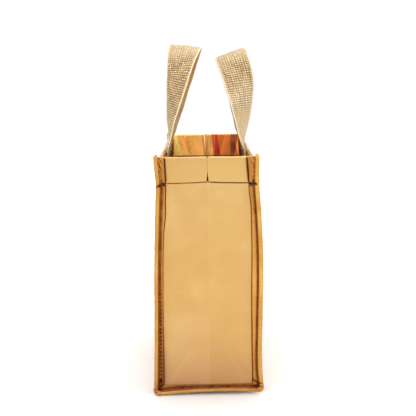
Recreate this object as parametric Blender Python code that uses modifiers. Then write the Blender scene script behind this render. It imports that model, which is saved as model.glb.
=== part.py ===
"""Reusable gift bag: a tall narrow tote of metallic laminated non-woven sheet with two twisted ribbon handles.

Metres, +Z up. The bag stands at the origin, its wide front panel facing -Y and its gussets facing +X and -X.
One sheet runs down the front, under the base and up the back. Its side edges turn outwards as flanges, each
flange is laid against the edge of a gusset, and a folded binding tape closes the two raw edges.
"""

import math

import bmesh
import bpy
from mathutils import Matrix, Vector

# ---------------------------------------------------------------- driving dimensions
PANEL_X = 0.105        # half the bag's width, to the inner face of a gusset
DEPTH_BASE = 0.0548    # half the depth at the base, to the middle of the sheet
DEPTH_RIM = 0.0485     # half the depth at the rim: the mouth pulls in a little
RIM_Z = 0.260          # top of the hem
SHEET = 0.0008         # laminated sheet
GAP = 0.0003           # air between pieces that touch
TAPE = 0.0006          # binding tape
FLANGE = 0.0051        # seam allowance that stands out from the panel
TAPE_FROM = 0.0010     # where the tape's inner ply starts, measured out from the middle of the panel
TAPE_LAP = 0.0042      # how far the tape's outer ply laps over the gusset, inwards from there
HEM = 0.029            # depth of the folded hem
PUFF = 0.0032          # the folded hem's inner face at the rim, measured from the sheet's outer ply
STRAP_W = 0.0365       # handle strap, width
PLY_OUT = 0.0010       # woven outer ply
PLY_IN = 0.0006        # smooth backing ply
LEG_X = 0.033          # half the distance between a handle's legs
ARCH_RISE = 0.037      # height of the arch that joins the legs
END_LEN = 0.0270       # length of strap sewn to the hem
THREAD_R = 0.0003      # sewing thread, radius
CORNER_IN = 0.003      # corner radius of the folded sheet
CORNER_OUT = 0.006     # corner radius of the fin's outer edge

TAPE_REACH = FLANGE + GAP + TAPE          # furthest out that the binding goes
BASE_Z = TAPE_REACH                       # middle of the base sheet, so that the fins stand on z = 0
STACK = PLY_OUT + GAP + PLY_IN            # a handle's whole thickness
GUSSET_X = (PANEL_X, PANEL_X + SHEET)     # the gusset sheet, inner and outer face
FLANGE_X = PANEL_X - GAP - SHEET / 2      # middle of the sheet's flange
HINGE_Y = DEPTH_RIM - PUFF / 2            # middle of the folded hem at the rim
STRAP_Y = DEPTH_RIM - SHEET / 2 - PUFF - GAP - STACK / 2   # middle of a sewn strap end at the rim


# ---------------------------------------------------------------- scene and helpers
for old in list(bpy.data.objects):
    bpy.data.objects.remove(old, do_unlink=True)

parts = bpy.data.collections.new("gift_bag")
cutters = bpy.data.collections.new("joined_shapes")
bpy.context.scene.collection.children.link(parts)
bpy.context.scene.collection.children.link(cutters)


def material(name, colour, roughness, metallic):
    made = bpy.data.materials.new(name)
    made.use_nodes = True
    shader = made.node_tree.nodes["Principled BSDF"]
    shader.inputs["Base Color"].default_value = (*colour, 1.0)
    shader.inputs["Roughness"].default_value = roughness
    shader.inputs["Metallic"].default_value = metallic
    return made


FILM = material("gold_film", (0.78, 0.52, 0.22), 0.32, 0.9)
TAPE_MAT = material("gold_binding_tape", (0.80, 0.48, 0.15), 0.28, 0.9)
WOVEN = material("glitter_webbing", (0.66, 0.49, 0.28), 0.55, 0.4)
BACKING = material("smooth_backing", (0.78, 0.50, 0.16), 0.35, 0.8)
THREAD = material("brown_gold_thread", (0.30, 0.14, 0.04), 0.6, 0.0)


def half_depth(z):
    """Half the bag's depth at height z, to the middle of the sheet."""
    share = (z - BASE_Z) / (RIM_Z - BASE_Z)
    return DEPTH_BASE + (DEPTH_RIM - DEPTH_BASE) * share


def link(obj, mat, collection=parts):
    collection.objects.link(obj)
    obj.data.materials.clear()
    obj.data.materials.append(mat)
    return obj


def grid_object(name, columns, rows, place, mat, thickness, collection=parts):
    """A grid primitive whose points are laid on place(column, row), thickened to both sides."""
    mesh = bpy.data.meshes.new(name)
    bm = bmesh.new()
    bmesh.ops.create_grid(bm, x_segments=columns - 1, y_segments=rows - 1, size=1.0)
    for v in bm.verts:
        i = round((v.co.x + 1) / 2 * (columns - 1))
        j = round((v.co.y + 1) / 2 * (rows - 1))
        v.co = Vector(place(i, j))
    bmesh.ops.recalc_face_normals(bm, faces=bm.faces)
    bm.to_mesh(mesh)
    bm.free()
    obj = link(bpy.data.objects.new(name, mesh), mat, collection)
    shell = obj.modifiers.new("thickness", "SOLIDIFY")
    shell.thickness = thickness
    shell.offset = 0.0
    shell.use_even_offset = True
    return obj


def box_object(name, size, centre, mat, turn=0.0, collection=parts):
    """A box primitive, turned about the X axis by turn."""
    mesh = bpy.data.meshes.new(name)
    bm = bmesh.new()
    bmesh.ops.create_cube(bm, size=1.0)
    bmesh.ops.scale(bm, vec=size, verts=bm.verts)
    bm.to_mesh(mesh)
    bm.free()
    obj = link(bpy.data.objects.new(name, mesh), mat, collection)
    obj.location = centre
    obj.rotation_euler = (turn, 0.0, 0.0)
    return obj


def join_to(obj, other):
    """Boolean union of a shape that then only serves as a cutter."""
    other.hide_render = True
    other.display_type = "WIRE"
    union = obj.modifiers.new("join_" + other.name, "BOOLEAN")
    union.operation = "UNION"
    union.solver = "EXACT"
    union.object = other


def thread_object(name, points, mat=THREAD):
    """A sewing thread laid along points, as a curve with round section and filled ends."""
    curve = bpy.data.curves.new(name, "CURVE")
    curve.dimensions = "3D"
    curve.bevel_depth = THREAD_R
    curve.bevel_resolution = 1
    curve.use_fill_caps = True
    curve.resolution_u = 1
    spline = curve.splines.new("POLY")
    spline.points.add(len(points) - 1)
    for p, co in zip(spline.points, points):
        p.co = (*co, 1.0)
    obj = bpy.data.objects.new(name, curve)
    return link(obj, mat)


# ---------------------------------------------------------------- the U-shaped path round a gusset
ARC = 5  # segments in each bottom corner


def ring(o, rows_up=(RIM_Z, RIM_Z - HEM)):
    """Points (y, z) round the bag's U, o further out than the middle of the sheet: down the front, under, up the back."""
    r = max(0.0012, CORNER_IN + (CORNER_OUT - CORNER_IN) * o / FLANGE)
    low = BASE_Z - o
    side = half_depth(low + r) + o
    points = [(-(half_depth(z) + o), z) for z in rows_up]
    for k in range(ARC + 1):
        a = math.radians(90) * k / ARC
        points.append((-(side - r) - r * math.cos(a), low + r - r * math.sin(a)))
    points += [(-y, z) for y, z in reversed(points)]
    return points


ROWS = len(ring(0.0))
TILT = math.atan2(DEPTH_BASE - DEPTH_RIM, RIM_Z - BASE_Z)

# ---------------------------------------------------------------- body sheet: front, base and back in one
wrap_columns = [(-FLANGE_X, FLANGE), (-FLANGE_X, 0.0), (FLANGE_X, 0.0), (FLANGE_X, FLANGE)]
wrap_rings = [ring(o) for _, o in wrap_columns]


def wrap_point(i, j):
    y, z = wrap_rings[i][j]
    return (wrap_columns[i][0], y, z)


body_sheet = grid_object("body_sheet", len(wrap_columns), ROWS, wrap_point, FILM, SHEET)


def hem_wedge(name, side):
    """The hem folded to the inside: close to the panel at its seam, standing open by PUFF at the rim."""
    wedge = box_object(name, (2 * FLANGE_X - 0.0002, 1.0, HEM), (0.0, 0.0, RIM_Z - HEM / 2), FILM, 0.0, cutters)
    for v in wedge.data.vertices:
        at_rim = v.co.z > 0
        inner = SHEET / 2 + (PUFF if at_rim else SHEET)
        depth = half_depth(RIM_Z if at_rim else RIM_Z - HEM)
        if (v.co.y > 0) == (side > 0):
            inner = 0.0
        v.co.y = side * (depth - inner)
    wedge.location.z -= 0.00003
    return wedge


for side, label in ((-1, "front"), (1, "back")):
    join_to(body_sheet, hem_wedge(label + "_hem_fold", side))

# ---------------------------------------------------------------- gussets
outline = ring(FLANGE, (RIM_Z,))


def gusset(name, side):
    curve = bpy.data.curves.new(name, "CURVE")
    curve.dimensions = "2D"
    curve.fill_mode = "BOTH"
    curve.extrude = SHEET / 2
    curve.resolution_u = 1
    spline = curve.splines.new("POLY")
    spline.points.add(len(outline) - 1)
    for p, (y, z) in zip(spline.points, outline):
        p.co = (y, z, 0.0, 1.0)
    spline.use_cyclic_u = True
    flat = bpy.data.objects.new(name + "_outline", curve)
    cutters.objects.link(flat)
    # the outline's x and y become the bag's y and z
    flat.matrix_world = Matrix(
        ((0, 0, 1, side * (PANEL_X + SHEET / 2)), (1, 0, 0, 0), (0, 1, 0, 0), (0, 0, 0, 1))
    )
    bpy.context.view_layer.update()
    graph = bpy.context.evaluated_depsgraph_get()
    mesh = bpy.data.meshes.new_from_object(flat.evaluated_get(graph))
    bm = bmesh.new()
    bm.from_mesh(mesh)
    bmesh.ops.remove_doubles(bm, verts=bm.verts, dist=0.00001)
    bmesh.ops.recalc_face_normals(bm, faces=bm.faces)
    bm.to_mesh(mesh)
    bm.free()
    obj = link(bpy.data.objects.new(name, mesh), FILM)
    obj.matrix_world = flat.matrix_world.copy()
    bpy.data.objects.remove(flat, do_unlink=True)
    # the hem is folded to the inside, between the front and back hems
    inner = DEPTH_RIM - SHEET / 2 - PUFF - 2 * GAP
    fold = box_object(
        name + "_hem_fold",
        (SHEET * 1.2, 2 * inner, HEM),
        (side * (PANEL_X - SHEET * 0.4), 0.0, RIM_Z - HEM / 2),
        FILM,
        0.0,
        cutters,
    )
    join_to(obj, fold)
    return obj


right_gusset = gusset("right_gusset", 1)
left_gusset = gusset("left_gusset", -1)

# ---------------------------------------------------------------- binding tapes round the seam edges
inner_ply_x = PANEL_X - GAP - SHEET - GAP - TAPE / 2
outer_ply_x = PANEL_X + SHEET + GAP + TAPE / 2
tape_out = FLANGE + GAP + TAPE / 2
tape_columns = [
    (inner_ply_x, TAPE_FROM),
    (inner_ply_x, tape_out),
    (outer_ply_x, tape_out),
    (outer_ply_x, -TAPE_LAP),
]
tape_rings = [ring(o) for _, o in tape_columns]
for side, label in ((1, "right"), (-1, "left")):
    grid_object(
        label + "_edge_binding",
        len(tape_columns),
        ROWS,
        lambda i, j, side=side: (side * tape_columns[i][0], *tape_rings[i][j]),
        TAPE_MAT,
        TAPE,
    )

# ---------------------------------------------------------------- sewing threads of the seams and hem
seam_x = outer_ply_x + TAPE / 2 + GAP + THREAD_R
for side, label in ((1, "right"), (-1, "left")):
    path = [(side * seam_x, y, z) for y, z in ring(TAPE_FROM + 0.0014, (RIM_Z - 0.0015, RIM_Z - HEM))]
    thread_object(label + "_seam_thread", path)

hem_z = RIM_Z - HEM + 0.0020      # height of the hem's row of stitches
on_gusset = PANEL_X + SHEET + GAP + THREAD_R
clear = 3 * THREAD_R
for side, label in ((1, "right"), (-1, "left")):
    # the row lies on the gusset between the two binding tapes
    reach = half_depth(hem_z) - TAPE_LAP - clear
    thread_object(
        label + "_hem_thread",
        [(side * on_gusset, y, hem_z) for y in (-reach, -reach / 3, reach / 3, reach)],
    )
for side, label in ((-1, "front"), (1, "back")):
    y = side * (half_depth(hem_z) + SHEET / 2 + GAP + THREAD_R)
    reach = inner_ply_x - TAPE / 2 - clear
    thread_object(
        label + "_hem_thread",
        [(x, y, hem_z) for x in (-reach, -reach / 3, reach / 3, reach)],
    )


# ---------------------------------------------------------------- handles
class Handle:
    """A strap loop: two legs that leave the panel flat, twist as they rise, and meet in an arch that lies flat."""

    def __init__(self, side, height, lean, twist, yaw, yaw_top):
        self.side = side                  # -1 on the front panel, +1 on the back
        self.height = height              # top of the loop above the rim
        self.lean = lean                  # inward lean over height: coefficients of h, h^2 and h^3
        self.twist = twist                # turn of the strap in degrees: coefficients of h to h^4
        self.yaw, self.yaw_top = yaw, yaw_top         # turn of the loop about the vertical, in degrees

    def arch(self, count):
        """(x, height, tangent x, tangent z) along the loop, evenly spaced, from the right leg to the left."""
        rise, start = ARCH_RISE, 0.0005
        straight = self.height - rise
        line = [(LEG_X, start + (straight - start) * k / 24) for k in range(25)]
        for k in range(1, 49):
            a = math.pi * k / 48
            line.append((LEG_X * math.cos(a), straight + rise * math.sin(a)))
        line += [(-LEG_X, start + (straight - start) * k / 24) for k in range(23, -1, -1)]
        run = [0.0]
        for (x0, z0), (x1, z1) in zip(line, line[1:]):
            run.append(run[-1] + math.hypot(x1 - x0, z1 - z0))
        out = []
        for k in range(count + 1):
            s = run[-1] * k / count
            i = max(0, min(len(line) - 2, next((n for n, r in enumerate(run) if r > s), len(run) - 1) - 1))
            f = (s - run[i]) / (run[i + 1] - run[i])
            (x0, z0), (x1, z1) = line[i], line[i + 1]
            d = math.hypot(x1 - x0, z1 - z0)
            out.append((x0 + (x1 - x0) * f, z0 + (z1 - z0) * f, (x1 - x0) / d, (z1 - z0) / d))
        return out

    def frames(self, count):
        """(centre, width direction, outward normal) along the loop, in the bag's frame."""
        inward = -self.side
        made = []
        for x, h, tx, tz in self.arch(count):
            share = h / self.height
            psi = math.radians(self.yaw * min(1.0, 3 * share) + (self.yaw_top - self.yaw) * share**3) * inward
            c, s = math.cos(psi), math.sin(psi)
            y_in = sum(k * h ** (n + 1) for n, k in enumerate(self.lean))
            centre = Vector((x * c, self.side * STRAP_Y + inward * y_in - x * s, RIM_Z + h))
            slope = inward * sum((n + 1) * k * h**n for n, k in enumerate(self.lean))
            tangent = Vector((tx * c, -tx * s + slope * tz, tz)).normalized()
            out_in_plane = Vector((tz * c, -tz * s, -tx))
            across = Vector((s, c, 0.0)) * inward
            tau = math.radians(sum(k * h ** (n + 1) for n, k in enumerate(self.twist)))
            width = out_in_plane * math.cos(tau) + across * math.sin(tau)
            width = (width - tangent * width.dot(tangent)).normalized()
            normal = tangent.cross(width) * -inward
            made.append((centre, width, normal))
        return made


front_handle = Handle(-1, 0.1117, (0.176, -0.22, 2.9), (477.0, 6963.0, -154490.0, 1098200.0), 3.6, -0.5)
back_handle = Handle(1, 0.1037, (0.159, -3.30, 30.8), (1189.0, -14054.0, 205320.0, -796090.0), 0.1, -4.1)
ALONG, ACROSS = 44, 4

for handle, label in ((front_handle, "front"), (back_handle, "back")):
    hinge = bpy.data.objects.new(label + "_handle_hinge", None)
    hinge.location = (0.0, handle.side * HINGE_Y, RIM_Z)
    parts.objects.link(hinge)
    frames = handle.frames(ALONG)
    for ply, offset, thickness, mat in (
        ("webbing", STACK / 2 - PLY_OUT / 2, PLY_OUT, WOVEN),
        ("backing", -STACK / 2 + PLY_IN / 2, PLY_IN, BACKING),
    ):

        def strap_point(i, j, offset=offset):
            centre, width, normal = frames[j]
            across = (i / ACROSS - 0.5) * (STRAP_W - thickness * 0.2)
            return centre + width * across + normal * offset - hinge.location

        loop = grid_object(
            label + "_handle_" + ply, ACROSS + 1, ALONG + 1, strap_point, mat, thickness
        )
        loop.data.shade_smooth()
        loop.data.set_sharp_from_angle(angle=math.radians(40))
        loop.parent = hinge
    # strap ends sewn flat to the inside of the hem, and the square of stitching that holds each
    top, low = RIM_Z - 0.0005, RIM_Z - 0.0005 - END_LEN
    hem_top = half_depth(RIM_Z) - SHEET / 2 - PUFF
    hem_low = half_depth(RIM_Z - HEM) - SHEET * 1.5
    slope = (hem_low - hem_top) / HEM

    def on_hem(z, off, side=handle.side, hem_top=hem_top, slope=slope):
        """A point's Y at height z, off the hem's inner face."""
        return side * (hem_top + slope * (RIM_Z - z) - off)

    mid_z = (top + low) / 2
    for sx, way in ((1, "right"), (-1, "left")):
        box_object(
            label + "_handle_" + way + "_end",
            (STRAP_W, STACK, END_LEN),
            (sx * LEG_X, on_hem(mid_z, GAP + STACK / 2), mid_z),
            WOVEN,
            handle.side * math.atan(slope),
        )
        x0, x1 = sx * LEG_X - 0.0140, sx * LEG_X + 0.0140
        z0, z1 = top - 0.0240, top - 0.0040
        square = [(x0, z0), (x1, z0), (x1, z1), (x0, z1), (x0, z0 + 0.0022)]
        path = [(x, on_hem(z, 2 * GAP + STACK + THREAD_R), z) for x, z in square]
        thread_object(label + "_handle_" + way + "_stitching", path)
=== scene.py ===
"""Looks of a tall metallic gift bag with two twisted glitter-ribbon handles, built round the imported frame.

Lengths in this script are in millimetres until mesh data is written, which is in metres.
"""

import math

import bpy
import numpy as np
from mathutils import Matrix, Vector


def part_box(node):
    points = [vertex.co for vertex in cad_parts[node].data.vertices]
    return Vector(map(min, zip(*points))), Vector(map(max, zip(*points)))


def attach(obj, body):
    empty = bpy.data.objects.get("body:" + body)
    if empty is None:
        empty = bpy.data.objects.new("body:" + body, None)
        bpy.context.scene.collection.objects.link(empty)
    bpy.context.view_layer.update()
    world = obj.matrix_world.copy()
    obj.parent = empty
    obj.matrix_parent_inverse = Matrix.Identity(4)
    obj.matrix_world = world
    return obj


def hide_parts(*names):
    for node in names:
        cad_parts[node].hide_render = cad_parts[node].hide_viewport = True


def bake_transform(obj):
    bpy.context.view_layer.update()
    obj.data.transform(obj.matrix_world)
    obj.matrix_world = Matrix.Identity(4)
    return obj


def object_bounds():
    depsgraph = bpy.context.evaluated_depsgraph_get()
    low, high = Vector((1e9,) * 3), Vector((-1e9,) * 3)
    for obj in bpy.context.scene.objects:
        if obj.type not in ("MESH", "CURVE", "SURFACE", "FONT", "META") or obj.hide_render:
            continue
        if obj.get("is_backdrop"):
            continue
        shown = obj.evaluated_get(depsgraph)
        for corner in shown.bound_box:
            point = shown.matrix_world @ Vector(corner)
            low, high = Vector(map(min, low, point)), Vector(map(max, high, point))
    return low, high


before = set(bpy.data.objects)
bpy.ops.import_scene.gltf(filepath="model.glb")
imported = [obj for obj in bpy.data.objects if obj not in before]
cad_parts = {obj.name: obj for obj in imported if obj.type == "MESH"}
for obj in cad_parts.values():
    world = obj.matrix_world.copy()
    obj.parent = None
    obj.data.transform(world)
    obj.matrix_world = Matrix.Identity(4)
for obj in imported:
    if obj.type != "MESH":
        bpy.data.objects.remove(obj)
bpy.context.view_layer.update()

MM = 0.001

# ------------------------------------------------------------------ sizes, as in the CAD part
SHEET = 0.8
PANEL_X, DEPTH_BASE, DEPTH_RIM, RIM, BASE = 105.0, 54.8, 48.5, 260.0, 6.0
SEAM_Z = 233.0
STRAP_W, LEG_X, RISE = 36.5, 33.0, 37.0
GUSSET_X = PANEL_X + SHEET / 2

lo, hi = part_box("body_sheet")
assert abs(hi.z * 1000 - RIM) < 0.3, "the packed bag isn't the size this script was made for"


# ------------------------------------------------------------------ small maths
def step(a, b, t):
    """Smooth step from 0 at a to 1 at b."""
    t = np.clip((np.asarray(t, float) - a) / (b - a), 0, 1)
    return t * t * (3 - 2 * t)


def bell(t, centre, width):
    return np.exp(-(((np.asarray(t, float) - centre) / width) ** 2))


def curve(t, keys):
    """A smooth line through (t, value) keys, with flat ends."""
    ks = sorted(keys)
    x = np.array([k[0] for k in ks], float)
    y = np.array([k[1] for k in ks], float)
    d = np.gradient(y, x)
    d[0] = d[-1] = 0
    t = np.clip(np.asarray(t, float), x[0], x[-1])
    i = np.clip(np.searchsorted(x, t) - 1, 0, len(x) - 2)
    h = x[i + 1] - x[i]
    s = (t - x[i]) / h
    return (
        (2 * s**3 - 3 * s**2 + 1) * y[i]
        + (s**3 - 2 * s**2 + s) * h * d[i]
        + (3 * s**2 - 2 * s**3) * y[i + 1]
        + (s**3 - s**2) * h * d[i + 1]
    )


def waves(a, b, size, seed):
    """A smooth uneven field from -1 to 1 over two coordinates; size is its main wavelength."""
    r = np.random.default_rng(seed)
    total = np.zeros(np.broadcast(a, b).shape)
    weight = 0.0
    for k in range(9):
        angle, phase = r.uniform(0, 2 * math.pi), r.uniform(0, 2 * math.pi)
        f = 2 * math.pi / (size * r.uniform(0.6, 1.8))
        w = r.uniform(0.5, 1.0)
        warp = 0.6 * np.sin((a * math.sin(angle) - b * math.cos(angle)) * f * 0.53 + phase * 1.7)
        total = total + w * np.sin((a * math.cos(angle) + b * math.sin(angle)) * f + phase + warp)
        weight += w
    return total / weight * 1.6


def samples(start, end, usual, fine=()):
    """Positions from start to end, usual apart, and closer round each (place, reach, spacing)."""
    out, t = [start], start
    while t < end:
        gap = usual
        for place, reach, spacing in fine:
            away = max(0.0, abs(t - place) - reach)
            gap = min(gap, spacing + away * 0.35)
        t += gap
        out.append(min(t, end))
    if len(out) > 2 and out[-1] - out[-2] < usual * 0.05:
        out.pop(-2)
    return np.array(out)


# ------------------------------------------------------------------ mesh helpers
def mesh_object(name, points, quads, uv=None, fields=None, smooth=True):
    """A mesh object from points in millimetres; uv is per point, in millimetres, and fields are per-point numbers."""
    points = np.asarray(points, float).reshape(-1, 3) * MM
    quads = np.asarray(quads, int).reshape(-1, 4)
    a, b, c, d = (points[quads[:, k]] for k in range(4))
    volume = ((a * np.cross(b, c)).sum() + (a * np.cross(c, d)).sum()) / 6
    if volume < 0:
        quads = quads[:, ::-1]
    mesh = bpy.data.meshes.new(name)
    mesh.vertices.add(len(points))
    mesh.vertices.foreach_set("co", points.astype(np.float32).ravel())
    mesh.loops.add(quads.size)
    mesh.loops.foreach_set("vertex_index", quads.ravel().astype(np.int32))
    mesh.polygons.add(len(quads))
    mesh.polygons.foreach_set("loop_start", np.arange(0, quads.size, 4, dtype=np.int32))
    mesh.update(calc_edges=True)
    mesh.validate()
    if uv is not None:
        layer = mesh.uv_layers.new(name="cloth")
        flat = np.asarray(uv, float).reshape(-1, 2)
        index = np.zeros(len(mesh.loops), np.int32)
        mesh.loops.foreach_get("vertex_index", index)
        layer.data.foreach_set("uv", (flat[index] * MM).astype(np.float32).ravel())
    for key, values in (fields or {}).items():
        attribute = mesh.attributes.new(key, "FLOAT", "POINT")
        attribute.data.foreach_set("value", np.asarray(values, np.float32).ravel())
    mesh.polygons.foreach_set("use_smooth", np.full(len(mesh.polygons), smooth))
    mesh.update()
    obj = bpy.data.objects.new(name, mesh)
    bpy.context.scene.collection.objects.link(obj)
    return obj


def grid_quads(n, m, base=0, flip=False):
    i, j = np.meshgrid(np.arange(n - 1), np.arange(m - 1), indexing="ij")
    q = np.stack(
        [i * m + j, (i + 1) * m + j, (i + 1) * m + j + 1, i * m + j + 1], -1
    ).reshape(-1, 4)
    return base + (q[:, ::-1] if flip else q)


def grid_normals(p):
    return_normal = np.cross(np.gradient(p, axis=0), np.gradient(p, axis=1))
    length = np.linalg.norm(return_normal, axis=-1, keepdims=True)
    return return_normal / np.maximum(length, 1e-9)


def shell(name, middle, thickness, uv, fields, film_out=1.0):
    """A closed sheet round a grid of mid-surface points. The field "inner" is 0 on the film side and 1 on the cloth side."""
    n, m = middle.shape[:2]
    normal = grid_normals(middle) * film_out
    t = np.asarray(thickness, float)
    if t.ndim == 2:
        t = t[..., None]
    front, back = middle + normal * t / 2, middle - normal * t / 2
    points = np.concatenate([front.reshape(-1, 3), back.reshape(-1, 3)])
    k = n * m
    quads = [grid_quads(n, m), grid_quads(n, m, k, True)]
    ring = np.concatenate(
        [
            np.arange(m),
            np.arange(1, n) * m + m - 1,
            (n - 1) * m + np.arange(m - 2, -1, -1),
            np.arange(n - 2, 0, -1) * m,
        ]
    )
    after = np.roll(ring, -1)
    quads.append(np.stack([ring, after, after + k, ring + k], -1)[:, ::-1])
    quads = np.concatenate(quads)
    # the rim faces have to agree with the grid's
    both = {key: np.concatenate([np.ravel(v), np.ravel(v)]) for key, v in fields.items()}
    both["inner"] = np.concatenate([np.zeros(k), np.ones(k)])
    uv2 = np.concatenate([uv.reshape(-1, 2), uv.reshape(-1, 2)])
    made = mesh_object(name, points, quads, uv2, both)
    return consistent(made)


def consistent(obj):
    """Turns every face of a closed mesh to face out."""
    import bmesh

    bm = bmesh.new()
    bm.from_mesh(obj.data)
    bmesh.ops.recalc_face_normals(bm, faces=bm.faces)
    bm.to_mesh(obj.data)
    bm.free()
    return obj


# ------------------------------------------------------------------ where the bag's seams run
def half_depth(z):
    return DEPTH_BASE + (DEPTH_RIM - DEPTH_BASE) * (np.asarray(z, float) - BASE) / (RIM - BASE)


# How far each upright seam stands off the straight line from base to rim: the cloth is soft.
SEAM_OFF = {
    ("right", -1): [(0, 0), (6, 0), (24, -0.2), (72, -0.6), (116, -0.3), (161, -0.5), (192, -1.2), (213, -1.7), (226, -2.0), (233, -1.8), (246, -0.6), (260, 0.7), (264, 0.9)],
    ("right", 1): [(0, -0.6), (6, -1.0), (24, -2.1), (72, -1.0), (93, -0.1), (126, 1.3), (161, 1.8), (200, 0.9), (213, 0.3), (226, -0.3), (233, -0.3), (246, 0.3), (260, 0.9), (264, 1.0)],
    ("left", -1): [(0, 0), (20, -0.6), (70, -1.6), (120, -0.2), (170, 0.9), (210, -0.4), (232, -1.4), (260, -0.8), (264, -0.6)],
    ("left", 1): [(0, -0.2), (30, -1.5), (90, -0.6), (140, 0.8), (180, 0.2), (215, -1.0), (232, -1.6), (260, -1.2), (264, -1.0)],
}
# Where the smooth middle of each gusset ends, on its front and back side.
FLAT = {
    ("right", -1): [(0, 49.4), (13, 48.9), (60, 48.7), (116, 48.0), (160, 46.8), (176, 46.0), (187, 44.8), (198, 43.5), (214, 43.2), (230, 42.5), (236, 42.6), (251, 43.1), (264, 43.3)],
    ("right", 1): [(0, 46.9), (12, 47.2), (60, 46.7), (116, 46.4), (160, 46.8), (185, 46.4), (208, 45.7), (224, 44.0), (231, 43.6), (236, 43.4), (251, 42.2), (264, 41.4)],
    ("left", -1): [(0, 48.6), (13, 48.6), (72, 48.0), (161, 46.6), (213, 44.6), (226, 43.6), (233, 43.3), (260, 42.4), (264, 42.2)],
    ("left", 1): [(0, 48.9), (13, 48.6), (72, 47.6), (161, 46.2), (213, 44.6), (226, 43.4), (233, 43.0), (260, 42.2), (264, 42.0)],
}


# How far the base seam of each end hangs below its straight line: the sewn corners stick down like small feet.
DROOP = {
    "right": [(-62, -3.0), (-54, -2.9), (-37, -1.5), (-12, -0.2), (8, 0.3), (24, 0.5), (40, 0.1), (54, -0.5), (62, -0.6)],
    "left": [(-62, -2.2), (-54, -2.0), (-36, -0.9), (0, 0.3), (30, -0.6), (54, -2.3), (62, -2.5)],
}


def droop(end, y):
    return curve(y, DROOP[end])


def seam_y(end, side, z):
    """|Y| of the wide panel where it meets a gusset."""
    return half_depth(z) + curve(z, SEAM_OFF[end, side])


def hem_line(y):
    """Height of the hem's stitches: a little higher at the middle of a gusset."""
    return SEAM_Z - 0.9 + 1.8 * np.exp(-np.abs(y) / 28.0)


# ------------------------------------------------------------------ body sheet: front, base and back in one
def puff(x, z):
    """Distance between the outer and inner ply of the hem: it is fuller where a strap pulls the inner ply in."""
    strap = step(24, 15, np.abs(np.abs(x) - LEG_X))
    return 1.1 + 2.1 * step(SEAM_Z, RIM - 3, z) + 1.7 * strap * step(SEAM_Z + 6, RIM - 8, z)


def wide_panel(x, z, side):
    """|Y| of a wide panel's middle surface."""
    t = (x / PANEL_X + 1) / 2
    y = seam_y("left", side, z) * (1 - t) + seam_y("right", side, z) * t
    inside = np.clip(1 - (x / PANEL_X) ** 2, 0, 1)
    tall = np.sin(np.pi * np.clip((z - BASE) / (SEAM_Z - BASE), 0, 1)) ** 0.8
    y = y + 2.6 * inside**0.8 * tall
    # the rim is held a little straighter than the cloth below it and dips in at the handles
    y = y - 0.35 * inside * step(SEAM_Z - 6, RIM, z) * (1 + 0.4 * np.cos(x / LEG_X * np.pi))
    # a waist under the hem's stitches, with short puckers
    y = y - 0.55 * bell(z, SEAM_Z - 0.4, 1.1) * step(0, 0.06, inside)
    pitch = np.sin(x * 2 * np.pi / 7.0 + 0.8 * np.sin(x / 19.0))
    y = y + 0.16 * pitch * inside * (bell(z, SEAM_Z - 5, 6) + 0.6 * bell(z, SEAM_Z + 4, 4))
    # soft folds: from the lower corners up towards the middle, and a few shallow dents
    for cx, cz, angle, wide, long, deep in (
        (-78, 34, 52, 5.0, 34, -1.1), (-62, 58, 44, 7.0, 40, 0.8), (80, 40, 128, 5.5, 36, -1.0),
        (60, 30, 140, 6.0, 30, 0.7), (-20, 196, 96, 8.0, 40, -0.7), (36, 188, 84, 7.0, 34, -0.6),
        (-88, 150, 84, 4.5, 60, -0.7), (89, 120, 95, 4.5, 66, -0.7), (8, 96, 20, 14.0, 60, 0.7),
        (-34, 128, 158, 10.0, 46, -0.6), (44, 150, 30, 9.0, 40, 0.5),
    ):
        a = math.radians(angle)
        cx = cx * side
        u = (x - cx) * math.cos(a) * side + (z - cz) * math.sin(a)
        v = -(x - cx) * math.sin(a) * side + (z - cz) * math.cos(a)
        y = y + deep * np.exp(-((u / long) ** 2) - (v / wide) ** 2) * step(0, 0.25, inside)
    y = y + 0.30 * waves(x, z, 46, 5 + side) * step(0, 0.3, inside)
    y = y + 0.10 * waves(x, z, 13, 9 + side) * step(0, 0.2, inside)
    return y


def base_height(x, y):
    """Middle surface of the base: it rests a little lower in its middle than at its seams."""
    inside = np.clip(1 - (x / PANEL_X) ** 2, 0, 1)
    across = np.clip(1 - (y / 52.0) ** 2, 0, 1)
    z = BASE - 2.2 * inside * across + 0.25 * waves(x, y, 30, 31) * inside * across
    return z + np.where(x > 0, droop("right", y), droop("left", y)) * step(62, 104, np.abs(x))


columns = samples(
    -PANEL_X, PANEL_X, 1.7,
    [(-PANEL_X, 2, 0.5), (PANEL_X, 2, 0.5)],
)
columns = np.concatenate([columns])
FLANGE_OUT = np.array([0.45, 1.2, 2.1, 3.0])
nx = len(columns)
rows = []  # (kind, side, value): a row of the sheet, from the front hem's inner edge round to the back's
heights = samples(BASE + 3.2, RIM - 1.6, 1.9, [(SEAM_Z, 4, 0.45), (RIM, 2, 0.6), (BASE + 3, 2, 0.8)])
inner_heights = samples(SEAM_Z - 2.4, RIM - 1.6, 1.6, [(SEAM_Z, 3, 0.5), (RIM, 2, 0.6)])
fold_angles = np.radians(np.linspace(12, 168, 9))
corner_angles = np.radians(np.linspace(8, 82, 7))
rows += [("inner", -1, z) for z in inner_heights]
rows += [("fold", -1, a) for a in fold_angles]
rows += [("outer", -1, z) for z in heights[::-1]]
rows += [("corner", -1, a) for a in corner_angles]
rows += [("base", 0, t) for t in np.linspace(-1, 1, 61)]
rows += [("corner", 1, a) for a in corner_angles[::-1]]
rows += [("outer", 1, z) for z in heights]
rows += [("fold", 1, a) for a in fold_angles[::-1]]
rows += [("inner", 1, z) for z in inner_heights[::-1]]

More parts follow.
